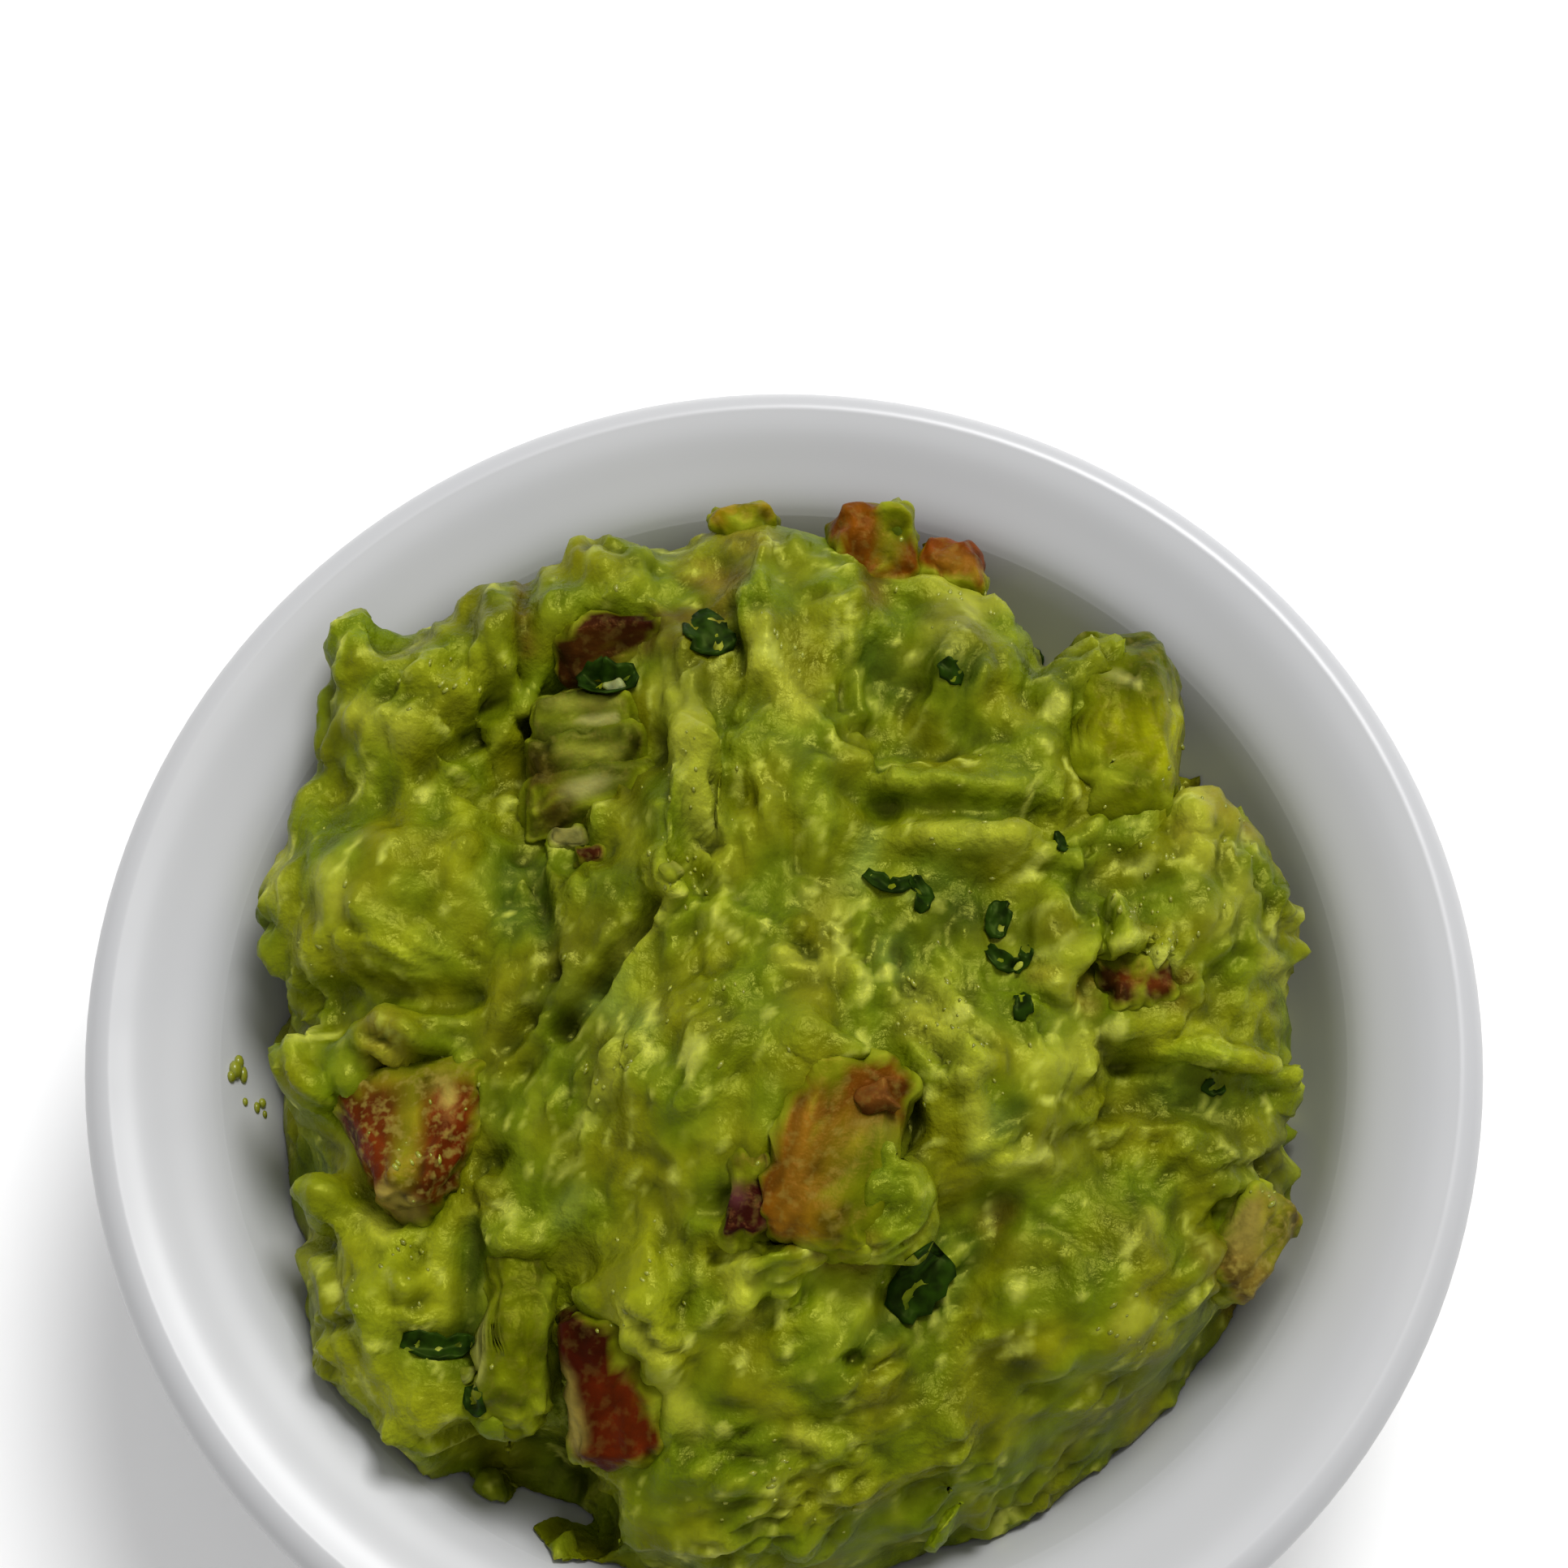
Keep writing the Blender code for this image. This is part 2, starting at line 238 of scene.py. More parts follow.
bm = bmesh.new()
ring = [bm.verts.new((radius, 0, height)) for radius, height in section]
edges = [bm.edges.new(pair) for pair in zip(ring, ring[1:] + ring[:1])]
axis_edge = [edge for edge in edges if all(vert.co.x == 0 for vert in edge.verts)]
bmesh.ops.delete(bm, geom=axis_edge, context="EDGES")
bmesh.ops.spin(
    bm,
    geom=bm.verts[:] + bm.edges[:],
    cent=(0, 0, 0),
    axis=(0, 0, 1),
    angle=2 * math.pi,
    steps=TURN_STEPS,
    use_merge=True,
)
bmesh.ops.remove_doubles(bm, verts=bm.verts, dist=0.00001)
bmesh.ops.recalc_face_normals(bm, faces=bm.faces)

# White glaze: a thick glassy coat over a pale body, so broad soft shading and sharp highlights, with the
# faint waviness that a dipped glaze dries with.
glaze, tree, shader, where = new_material("white glazed stoneware")
height = add_node(tree, "SeparateXYZ", _0=where).outputs["Z"]
fired_foot = add_node(tree, "MapRange", _0=height, _1=0.25 * MM, _2=0.45 * MM).outputs[0]
drift = add_node(tree, "TexNoise", Vector=where, Scale=1 / (28 * MM), Detail=2.0).outputs["Fac"]
body = add_node(tree, "MixRGB", _0=drift, _1=linear(GLAZE), _2=linear(GLAZE_DRIFT)).outputs[0]
# Painted reflection and shade: the well's wall on the right, down beside the heap, is drawn towards dark
# olive.
aside = add_node(tree, "SeparateXYZ", _0=where).outputs["X"]
right = add_node(tree, "MapRange", _0=aside, _1=34 * MM, _2=44 * MM).outputs[0]
low = add_node(tree, "MapRange", _0=height, _1=33 * MM, _2=28 * MM, _4=0.5).outputs[0]
painted_bounce = add_node(tree, "Math", {"operation": "MULTIPLY"}, _0=right, _1=low).outputs[0]
body = add_node(tree, "MixRGB", _0=painted_bounce, _1=body, _2=linear(WALL_GREEN_BOUNCE)).outputs[0]
color = add_node(tree, "MixRGB", _0=fired_foot, _1=linear(BISCUIT), _2=body).outputs[0]
tree.links.new(color, shader.inputs["Base Color"])
gloss = add_node(tree, "MapRange", _0=fired_foot, _3=0.8, _4=0.32).outputs[0]
tree.links.new(gloss, shader.inputs["Roughness"])
waves = add_node(tree, "TexNoise", Vector=where, Scale=1 / (9 * MM), Detail=1.0).outputs["Fac"]
ripple = add_node(tree, "Bump", Strength=0.12, Distance=0.5 * MM, Height=waves).outputs[0]
tree.links.new(ripple, shader.inputs["Normal"])
bowl = add_piece("rimmed_bowl", bm, glaze)
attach(bowl, "root")
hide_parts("bowl")

# ---------------------------------------------------------------------------------------------------------
# The mash: ripe avocado crushed with a fork and spooned into the bowl in big soft lumps that run together,
# with small unmashed bits in it. Folds and smears from the spoon cross it, and painted light makes its
# crests pale.
# Lumps: middle x, y, height of the top, half widths, half height in mm, turn in degrees.
LUMPS = {
    "bed": (0, -2, 37, 42.6, 42, 13, 0),
    "core": (1, -2, 43.6, 38.5, 37, 20, 0),
    "north_field": (-1, 29, 41.4, 18, 13, 10, 0),
    "east_field": (27, 4, 39.6, 15, 17, 12, 0),
    "south_field": (2, -29, 39.8, 22, 13, 12, 0),
    "west_field": (-27, 8, 38.8, 15.5, 17, 12, 0),
    "south_west_field": (-26, -20, 37.4, 13, 15, 12, 0),
    "north_west": (-30, 24, 40.4, 10, 9.8, 10, 15),
    "north_west_horn": (-35.6, 29.6, 39.5, 2.3, 4.2, 5, 15),
    "west": (-31, 9.5, 40.6, 12.6, 11.2, 10, 0),
    "west_low": (-35, -5.6, 37.6, 5, 6, 8, 0),
    "north_west_column": (-24, 31, 40.8, 4.6, 7.4, 8, 12),
    "north_west_block": (-21, 34, 40, 6.6, 5.2, 8, 5),
    "north": (-14.5, 36.4, 40, 7.4, 6.2, 9, 0),
    "north_edge": (-2, 38.2, 40, 10.5, 5.6, 9, 0),
    "north_ridge": (-2, 29, 43.2, 3.4, 12, 6, 0),
    "slant_ridge": (-8.8, 15, 45.2, 2.8, 11, 6, -8),
    "upper_middle": (0.5, 16, 44.4, 8, 11, 8, 0),
    "north_column": (5, 31, 41.8, 5.4, 9.4, 8, 0),
    "north_east": (14.5, 28, 42, 8, 9.4, 9, 0),
    "east_saddle": (19.5, 19, 42, 8, 8.5, 9, 0),
    "cross_ridge_far": (14, 16.8, 44, 9, 2.8, 5, 0),
    "cross_ridge_near": (15.6, 12, 44.2, 9.4, 2.6, 5, -4),
    "east": (31.6, 8, 40.8, 11.4, 10.6, 11, 0),
    "east_ridge": (22, 4, 43.2, 3.8, 7.6, 6, 10),
    "east_bar": (32.4, -4.4, 39.2, 9.6, 4, 8, -10),
    "east_edge": (35.6, 1, 38.8, 6.8, 8, 10, 0),
    "east_low": (31.4, -11.5, 38.6, 10.6, 7, 11, 0),
    "centre": (-3, -7, 46.2, 14, 15, 11, 0),
    "centre_right": (14, -8, 44.8, 11, 11, 9, 0),
    "centre_near": (-8, -22.5, 43.4, 7.6, 7.8, 8, 0),
    "south_middle": (1, -27, 41.6, 10.5, 7.5, 8, 0),
    "south_east": (21.5, -21.5, 40.8, 14.5, 11, 12, 25),
    "south_east_edge": (27, -26, 37.4, 10.6, 4.6, 12, 38),
    "south_south_east": (12.2, -31.8, 38.4, 11.4, 7.6, 12, 20),
    "south": (-3.5, -36, 38.2, 15, 9.2, 12, 0),
    "south_west": (-30.4, -23, 38.6, 8, 9.6, 11, 10),
    "south_west_end": (-26.6, -30.6, 37.6, 6.6, 6.4, 11, 0),
    "south_west_bed": (-29, -12, 36.8, 9.4, 8.6, 11, 0),
    "left_valley": (-20, -10, 38.4, 5, 11, 8, 0),
}
# Gaps beside the heap and folds pressed into it: middle x, y, z, half widths and half height in mm, turn.
HOLLOWS = {
    "north_east_gap": (23.5, 38.3, 32, 7.3, 7, 10, 0),
    "south_west_gap": (-20.8, -39, 34, 8, 6.8, 16, 0),
    "south_west_side": (-34.6, -35, 36, 13, 4.2, 14, -45),
    "north_west_fold": (-23.5, 17, 42, 2, 10, 6, 30),
    "north_west_dip": (-17, 14, 43, 4, 6, 6, 10),
    "south_east_fold": (11, -24, 43, 1.6, 11, 5, -50),
}
# Knobs and laps of mash that stand on the lumps and over the edges of the pieces in them, as LUMPS.
KNOBS = {
    "near_knob": (-3.2, -23.4, 43.6, 1.2, 3, 1.6, 6),
    "near_knob_beside": (-0.2, -22.6, 42.8, 1.1, 2.8, 1.6, 12),
    "near_knob_below": (-5.6, -25.8, 42.9, 2.4, 1.1, 1.6, 30),
    "near_knob_above": (-4.2, -19.6, 44.4, 2.8, 0.9, 1.3, -12),
    "yellow_knob": (-10.2, -22.8, 43.6, 2.6, 3.6, 2, 0),
    "pale_lip": (-11.2, -26.9, 42.8, 3.6, 1.1, 2.8, -46),
    "pale_lip_end": (-9, -28.9, 42, 1.9, 1.4, 2.4, -30),
    "pale_lip_upper": (-14.4, -24.4, 42, 2.6, 1.2, 2.2, -40),
    "fold_knob": (-16.9, -16.8, 39.9, 1.8, 1.2, 1.4, 35),
    "shield_cap": (-30.5, -2.6, 39.8, 5.4, 2.4, 2.2, 10),
    "shield_left": (-38.2, -6, 38.4, 2, 3.6, 2.6, 32),
    "maroon_cap": (-10.7, -25, 44, 5, 2.4, 4.4, -46),
    "maroon_side": (-8.4, -31.4, 39.8, 1.8, 5, 3, 0),
    "slab_foot": (-21.4, -32.6, 38, 3, 1.6, 2.4, 8),
    "orange_lap": (7.6, -17.8, 46.9, 5, 4.6, 3.4, -20),
    "orange_lap_right": (8.6, -14.2, 47.1, 2.4, 2.2, 2.6, 0),
    "orange_lap_far": (3.4, -5.6, 46.8, 3.8, 1.3, 1.6, -10),
    "orange_lap_left": (-1.2, -9.6, 46.7, 1.6, 6, 1.8, -12),
    "orange_lap_near": (0.4, -21.4, 45.8, 3.4, 1.6, 2.6, 10),
    "far_crumb_lap": (9.4, 41.6, 40.4, 1.8, 3, 3.4, 0),
    "far_crumb_foot": (9.6, 35.2, 39.9, 6.6, 1.8, 3, -8),
    "far_left_lap": (-14, 34.2, 40.4, 6, 1.4, 2.4, -4),
    "far_left_cap": (-18.6, 33.4, 40.8, 2.2, 2.6, 2.8, 10),
    "layer_foot": (-13.6, 14.8, 40.4, 3, 2.2, 2.2, 0),
    "chunk_foot": (26, 15, 40.4, 5, 3.4, 2.6, 20),
    "chunk_side": (22.8, 23.8, 41.2, 3, 6.8, 3.2, -12),
    "chunk_veil": (26, 28.8, 40.4, 2.4, 1.8, 1.6, -30),
    "chunk_corner": (34, 15.4, 39.8, 3, 2.6, 3, 0),
    "granular_cap": (28, 4.4, 42, 4.6, 2.5, 2.2, 0),
    "granular_lap": (27.4, -1.6, 41.7, 4.6, 2, 2.4, -4),
    "granular_lap_right": (31.8, 0.4, 41.2, 2, 2, 2.2, 30),
    "crumbly_lap": (31.6, -21.2, 38, 2.6, 3.2, 3.4, -30),
    "crumbly_cap": (33.2, -13.2, 38.4, 3.2, 2.2, 2.6, -20),
    "west_shoulder": (-38.8, 16.4, 37.4, 2.6, 4.4, 3.6, -12),
    "slab_head": (-20.4, -19.4, 40.2, 3.2, 2, 2.4, 0),
    "wall_strip": (-23.4, -36.6, 27.6, 2, 0.7, 2.4, -50),
    "wall_strip_near": (-17, -41.9, 29.6, 3.6, 1.1, 3.4, -22),
    "shield_corner_left": (-36, -15.8, 37.8, 3.6, 2.2, 3, -40),
    "shield_corner_right": (-23, -16.4, 39.4, 2.6, 2.6, 3, 40),
    "sliver": (12.2, -40.2, 37.2, 0.9, 2.8, 1.4, -38),
}
# Sweeps of the spoon, which set the way that the smears run: x and y of both ends.
SWEEPS = (
    (-4, 40, -3, 12), (3, 38, 1, 14), (-12, 34, -7, 12), (13, 38, 9, 24), (-24, 36, -25, 24),
    (-36, 18, -22, 27), (-22, 21, -13, 10), (-42, 8, -39, 16), (-32, 16, -34, 8), (-26, 14, -25, 4),
    (-40, 6, -28, -1), (-38, -4, -28, -18), (-40, -14, -34, -26), (-24, -30, -23, -12), (-21, -12, -11, 8),
    (-16, -16, -6, -3), (-8, 10, -4, 2), (4, 10, 15, -9), (1, 1, 9, -14), (6, 17, 23, 16), (6, 12, 24, 11),
    (23, 12, 31, 22), (19, 24, 20, 32), (27, 35, 34, 22), (31, 13, 31, 4), (20, 8, 21, -2), (22, 0, 38, -6),
    (34, -8, 43, -3), (38, 4, 44, 14), (14, -20, 34, -8), (8, -27, 30, -14), (14, -34, 36, -18),
    (-6, -34, 14, -26), (-8, -40, 12, -34), (-16, -22, -8, -30), (-32, -27, -24, -33), (-20, -18, -18, -32),
    (-2, -24, 4, -18),
)
# Crests left by the spoon: x and y of both ends, half width, height in mm.
CRESTS = (
    (-33, 28.5, -28.5, 31.4, 1.2, 0.6), (-28.5, 32, -26, 29.4, 0.9, 0.5), (-36, 30.5, -33.5, 27, 1.1, 0.5),
    (-30, 27, -26, 26.5, 1, 0.5), (-35, 24.2, -31, 22.5, 1.4, 0.5), (-24.5, 34, -24.5, 28, 1, 0.6),
    (-22, 23.4, -29, 19, 1.1, 0.7), (-42, 15, -42, 10, 1.5, 0.5), (-36.5, 11, -35.5, 7.5, 1.6, 0.6),
    (-30.8, 13, -31, 11, 1.2, 0.5), (-27, 17.5, -26, 13, 1.2, 0.5), (-33.5, 8, -32, 5, 1.1, 0.4),
    (-38, 4.8, -30, 4, 1.4, 0.7), (-26.5, 10, -26, 12, 0.9, 0.5), (-29, 4.5, -25, 2.4, 1, 0.4),
    (-22.5, 2, -22.5, -1.6, 1, 0.7), (-24, 8, -22.5, 4, 0.9, 0.5), (-41.5, -2, -36, -8.5, 1, 0.6),
    (-37, -3, -34, -7, 0.9, 0.4), (-8, 21, -5.5, 13, 1.3, 0.8), (-5.5, 15, -2.5, 11, 1, 0.6),
    (-10.5, 10.4, -8.4, 8, 0.8, 0.6), (-12.5, 3, -8.8, 7.5, 0.8, 0.7), (-1, 15, -0.8, 11.5, 0.9, 0.7),
    (2.6, 18, 1, 14.5, 0.9, 0.6), (3.2, 13.6, 2.2, 10, 0.9, 0.6), (7, 21, 6.4, 18.6, 0.8, 0.6),
    (6.4, 18.6, 3, 18, 0.8, 0.6), (-1.5, 31, -2.5, 27, 1, 0.7), (-1.5, 38, -2.5, 34, 0.9, 0.6),
    (-1.5, 26.5, 1.5, 23, 1, 0.5), (3.5, 24, 3, 21, 0.8, 0.5), (6, 34, 4, 33, 1, 0.5),
    (-17, 38, -12, 37.2, 1.1, 0.5), (-14, 35, -10, 36, 1, 0.5), (8.5, 16.8, 19, 16.3, 1.1, 0.7),
    (10, 12.4, 18, 12, 1.3, 0.9), (18, 12, 23, 10.6, 1, 0.8), (22.8, 10.6, 23.6, 12.8, 0.7, 0.6),
    (23.6, 12.8, 25.6, 14, 0.7, 0.6), (12, 36.6, 18, 35.6, 1.1, 0.6), (18, 35, 19.5, 31, 0.9, 0.6),
    (14, 33.5, 11.5, 31, 1.2, 0.5), (22, 36, 23.5, 33, 1.1, 0.5), (31.6, 20, 28.4, 17.6, 0.8, 0.6),
    (30, 16.5, 30, 12, 0.9, 0.5), (27.5, 13.2, 29.4, 11.4, 0.8, 0.6), (34, 20, 33, 13, 1.2, 0.5),
    (38, 15.6, 41, 12, 1.1, 0.5), (42.6, 14, 43.4, 8, 0.8, 0.5), (21, 7.4, 21.5, 0, 1.3, 0.5),
    (38, 4.2, 42, 3.4, 0.8, 0.5), (26.6, -3.6, 34, -4.6, 1.1, 0.7), (34, -4.6, 41, -5.6, 0.9, 0.6),
    (25.6, 0.4, 26.6, -3, 0.9, 0.6), (36.5, -0.6, 33, -3, 1, 0.4), (40, -1.4, 43, 1, 0.9, 0.5),
    (-6, 6.2, -2, 5, 0.9, 0.5), (-2, 4.6, 0.4, 0.6, 0.8, 0.4), (-6, -1, 0, 1.6, 1, 0.5),
    (0, 1.6, 5, 0.8, 0.9, 0.5), (5, 0.6, 6.2, -3, 0.8, 0.4), (-11, -1.6, -10.4, -4.4, 0.7, 0.5),
    (-7.6, -1.4, -7, -5, 0.7, 0.5), (-5.6, -2.4, -5, -4.4, 0.6, 0.4), (-14.6, -8.4, -12, -5, 0.9, 0.6),
    (15, -12.6, 14.4, -9.4, 0.9, 0.6), (16, -14.4, 20, -13.4, 0.9, 0.6), (20, -5.8, 25, -4.4, 1.3, 0.6),
    (13, -7.6, 15, -6.4, 1, 0.5), (28.6, -17.4, 27.4, -19.6, 0.9, 0.5), (22.4, -22, 22.6, -24, 1, 0.5),
    (24.6, -27, 27.2, -25, 1.1, 0.6), (30, -22, 31.4, -24, 1.3, 0.7), (17.4, -23.4, 15.4, -26.4, 1.2, 0.5),
    (21, -28.6, 18, -27.2, 1.2, 0.4), (12, -33, 13.6, -34.6, 1.2, 0.5), (15.2, -37, 15, -38.8, 1.1, 0.5),
    (9, -30, 11, -31.4, 1.2, 0.4), (-10.6, -20.6, -10, -24, 1.1, 0.6), (-12, -27.4, -8.4, -29, 0.7, 0.5),
    (-8, -32.4, -3, -33.6, 0.9, 0.4), (0.8, -34, 2.6, -34.6, 0.8, 0.5), (-9, -36.4, -6, -37, 0.9, 0.4),
    (-9.4, -38.6, -4, -38.6, 0.8, 0.4), (0.2, -42.6, 1.5, -41.4, 0.5, 0.5),
    (-38.5, -15, -35, -15.4, 0.8, 0.6), (-38.8, -17.6, -37.4, -20.4, 1.2, 0.7),
    (-33, -16.4, -30.4, -18.6, 1, 0.6), (-27, -17.8, -26.8, -19.6, 0.8, 0.5),
    (-27.6, -23, -26, -23, 0.7, 0.5), (-31, -26, -32, -28.6, 0.9, 0.6), (-31, -29.6, -28.4, -31, 1.1, 0.6),
    (-30, -33, -26, -32.6, 1, 0.5), (0.6, -31, -6, -30.6, 1.6, 0.4), (6, -25.4, 3, -29, 1.4, 0.5),
    (-2, -13, -6, -16, 1.4, 0.4), (-10, -9, -13, -14, 1.3, 0.4),
)
# Creases and cuts between the lumps: x and y of both ends, half width, depth in mm.
CREASES = (
    (-29.6, 19, -25.2, 22.4, 0.9, 1.7), (-25.2, 22.4, -24, 25, 0.9, 1.6), (-24, 25, -21, 27.6, 0.9, 1.5),
    (-21.2, 28, -21.8, 38, 0.8, 1.3), (-38, 18, -33, 16, 2, 0.6), (-38.4, 1.2, -25, 0.3, 0.9, 1),
    (-38.4, 8, -37.4, 6.4, 0.8, 0.5), (-22, -4, -20.4, -2, 0.9, 1.3), (-20.4, -2, -18.4, 2, 0.7, 1),
    (-18.6, 2, -20, 10, 0.8, 1), (-15, 0.4, -17.6, -3, 0.9, 2), (-15, 0.6, -10.4, 6.6, 0.8, 2.6),
    (9, -8.8, 9.8, -13.4, 1.1, 2.8), (-20, 13, -21.6, 16, 0.7, 0.7), (-17.6, -3, -21, -6, 0.9, 1),
    (-21, -6, -22.4, -9, 0.8, 0.7), (-24.4, -16, -24.4, -26, 0.9, 1), (0.4, 13.6, 1.6, 9.4, 0.8, 0.8),
    (-3.6, 17, -1.4, 11.4, 0.6, 0.5), (5, 16.2, 8, 15, 1, 0.8), (8, 14.8, 21, 14.2, 1.1, 1),
    (7.7, 20.4, 8, 16.8, 0.5, 0.5), (20.6, 15.4, 22.4, 12.6, 0.9, 1.1), (27, 17, 26, 14, 0.7, 0.7),
    (26.4, 19, 29.6, 17.8, 0.6, 0.6), (24.6, 12, 23.6, 7, 0.7, 0.5), (23.4, 0, 25, 2, 0.7, 0.9),
    (25, 2, 27, 2.6, 0.6, 0.9), (27, 2.6, 29, 1.2, 0.6, 0.9), (29, 1.2, 32, 1.5, 0.6, 0.8),
    (25, -4.2, 27, -5.4, 0.8, 1.1), (27, -5.4, 34.6, -6.6, 0.7, 1), (34.6, -6.6, 41, -7, 0.7, 0.9),
    (35.6, -3, 37.6, 0, 0.7, 0.5), (38, 1, 44, 5, 0.7, 0.6), (27, -8, 37, -11.5, 2.6, 0.7),
    (29, -13.6, 38, -13.4, 0.8, 0.7), (13, -18.4, 17, -16.8, 1.2, 1.1), (12, -19.6, 8, -23, 0.8, 0.8),
    (8, -24, 5, -28.6, 0.8, 0.9), (5, -28.6, 1.6, -31.4, 0.7, 0.7), (20, -13, 23, -11.4, 0.7, 0.5),
    (-5.2, -21.2, -1, -20.4, 0.6, 0.8), (-7, -23.8, -7.6, -25.2, 0.5, 0.9),
    (-5, -27.4, -1, -26.2, 0.5, 0.5), (-9, -35, 0, -33, 0.5, 0.4), (9.8, -38.6, 12, -37.4, 0.8, 0.7),
    (-36.6, -25.6, -34, -25.2, 0.6, 1.2), (-38.4, -17, -36, -18.6, 0.6, 0.7),
    (-36, -18.6, -35, -23.4, 0.6, 0.7), (-30.6, -26.4, -24.6, -27, 1.1, 0.8),
    (-28.4, -17.6, -27.8, -17.4, 0.6, 0.9), (7, 29, 10, 26.4, 2, 0.7), (-5, 33, -4, 27, 0.7, 1),
    (-10.6, 22, -10, 16, 0.8, 1.5), (2, -33, 8, -36, 0.7, 0.4), (19, -31, 24, -29.6, 0.8, 0.5),
    (20, -18, 26, -21, 0.7, 0.4), (-9, -14.4, -13, -12.6, 0.6, 0.4), (-9, -8.6, -5.6, -8.2, 0.6, 0.4),
    (-16, -8, -16.6, -13, 0.7, 0.7), (32, 12, 36, 9, 0.7, 0.4), (26, 8.6, 30.6, 9.4, 0.7, 0.5),
    (8, 27, 13, 24.6, 0.6, 0.5), (15, 22, 12, 19, 0.7, 0.4), (-33, 17, -30, 12, 0.7, 0.4),
)
# Patches where the mash is crushed to fine grains: x and y of both ends, half width, share.
GRAINY = (
    (27, 5.4, 29, 3.6, 2.2, 1.6), (11, -1, 13, -5, 2.6, 1.2), (34, 22.6, 39, 21.6, 1.8, 1.4),
    (38, -14, 37, -19, 2.2, 1.2), (-3.5, -36, 0.5, -39, 3, 1.3), (-29.4, -19, -28.6, -24, 1.6, 1.3),
    (26, 33, 28.6, 29.6, 2, 0.9), (-31, -5, -27, -14, 2.6, 0.9), (-13.6, -8.4, -12.6, -5.4, 1.6, 1.2),
    (-8, 20, -6, 9, 2, 0.9), (13.6, -7, 15.4, -6.4, 1.4, 1.2), (-7, -2, -5, -6, 2, 0.8),
)
GAP = 0.3 * MM
MASH_LEVEL = 22 * MM
LUMP_VOXEL = 0.7 * MM
SKIN_VOXEL = 0.56 * MM
RUN_TOGETHER = 24
BITS = 170
BIT_SIZE = (0.6, 1.4)
SHEET_HALF = 76 * MM
SHEET_STEP = 0.25 * MM
TOP_SQUASH = 0.6
mash_random = random.Random(11)
grains = np.random.default_rng(5)


def ellipsoid(x, y, z, half_x, half_y, half_z, turn):
    """The matrix that makes a unit sphere this ellipsoid; sizes in mm, turn about Z in degrees."""
    place = Matrix.Translation(Vector((x, y, z)) * MM)
    stretch = Matrix.Diagonal((half_x * MM, half_y * MM, half_z * MM, 1))
    return place @ Matrix.Rotation(math.radians(turn), 4, "Z") @ stretch


def lump(x, y, top, half_x, half_y, half_z, turn):
    """The same ellipsoid, given by the height of its top."""
    return ellipsoid(x, y, top - half_z, half_x, half_y, half_z, turn)


def flow(x, y):
    """Which way the spoon smeared the mash at these places: the x and y of a unit direction."""
    twice = np.zeros((2, *np.shape(x)))
    for x0, y0, x1, y1 in SWEEPS:
        way = np.array((x1 - x0, y1 - y0)) * MM
        share = np.clip(((x - x0 * MM) * way[0] + (y - y0 * MM) * way[1]) / (way @ way), 0, 1)
        away = (x - x0 * MM - share * way[0]) ** 2 + (y - y0 * MM - share * way[1]) ** 2
        angle = 2 * math.atan2(way[1], way[0])
        near = 1 / (away + (1.5 * MM) ** 2) ** 2
        twice += np.array((near * math.cos(angle), near * math.sin(angle)))
    angle = np.arctan2(twice[1], twice[0]) / 2
    return np.cos(angle), np.sin(angle)


def blurred(sheet, width):
    """The sheet with this much blur, in sheet steps."""
    reach = np.arange(-int(3 * width) - 1, int(3 * width) + 2)
    bell = np.exp(-(reach**2) / (2 * width**2))
    bell /= bell.sum()
    for axis in (0, 1):
        sheet = np.apply_along_axis(np.convolve, axis, sheet, bell, "same")
    return sheet


def smear_sheet(width, length):
    """A flat sheet of streaks, this wide and long, that run the way the spoon went; mean 0, spread 1."""
    count = int(2 * SHEET_HALF / SHEET_STEP)
    sheet = blurred(grains.standard_normal((count, count)), width / SHEET_STEP / 2)
    total = sheet.copy()
    for way in (1, -1):
        row, column = np.mgrid[0:count, 0:count].astype(float)
        for _ in range(int(length / SHEET_STEP / 3)):
            at = row.astype(int), column.astype(int)
            column = np.clip(column + 1.5 * way * sheet_flow[0][at], 0, count - 1)
            row = np.clip(row + 1.5 * way * sheet_flow[1][at], 0, count - 1)
            total += sheet[row.astype(int), column.astype(int)]
    total -= total.mean()
    return total / total.std()


def laid(sheet, points):
    """The sheet's value at each point of the heap, as if the sheet were draped over it."""
    radius = np.hypot(points[:, 0], points[:, 1])
    drape = 1 + np.clip(HEAP_TOP - points[:, 2], 0, 1) / np.maximum(radius, 10 * MM)
    spot = (points[:, :2] * drape[:, None] + SHEET_HALF) / SHEET_STEP
    spot = np.clip(spot, 0, len(sheet) - 2)
    low = spot.astype(int)
    (u, v), (x, y) = (spot - low).T, low.T
    near = sheet[y, x] * (1 - u) + sheet[y, x + 1] * u
    far = sheet[y + 1, x] * (1 - u) + sheet[y + 1, x + 1] * u
    return near * (1 - v) + far * v


def small_bit(matrix, others):
    """A small bit half sunk in this lump's upper side, or None where another lump covers that place."""
    around, up = mash_random.uniform(0, 2 * math.pi), mash_random.uniform(0.05, 1)
    size = mash_random.uniform(*BIT_SIZE)
    flat = math.sqrt(1 - up * up)
    direction = Vector((flat * math.cos(around), flat * math.sin(around), up))
    spot = matrix @ direction
    if any((other @ spot).length < 0.94 for other in others):
        return None
    normal = (matrix.inverted().transposed().to_3x3() @ direction).normalized()
    across = normal.cross((*flow(spot.x, spot.y), mash_random.uniform(-0.4, 0.4))).normalized()
    turned = Matrix((across.cross(normal), across, normal)).transposed().to_4x4()
    stretch = Matrix.Diagonal((size * mash_random.uniform(1.4, 3.0) * MM, size * MM, size * 0.6 * MM, 1))
    return Matrix.Translation(spot - normal * size * 0.25 * MM) @ turned @ stretch


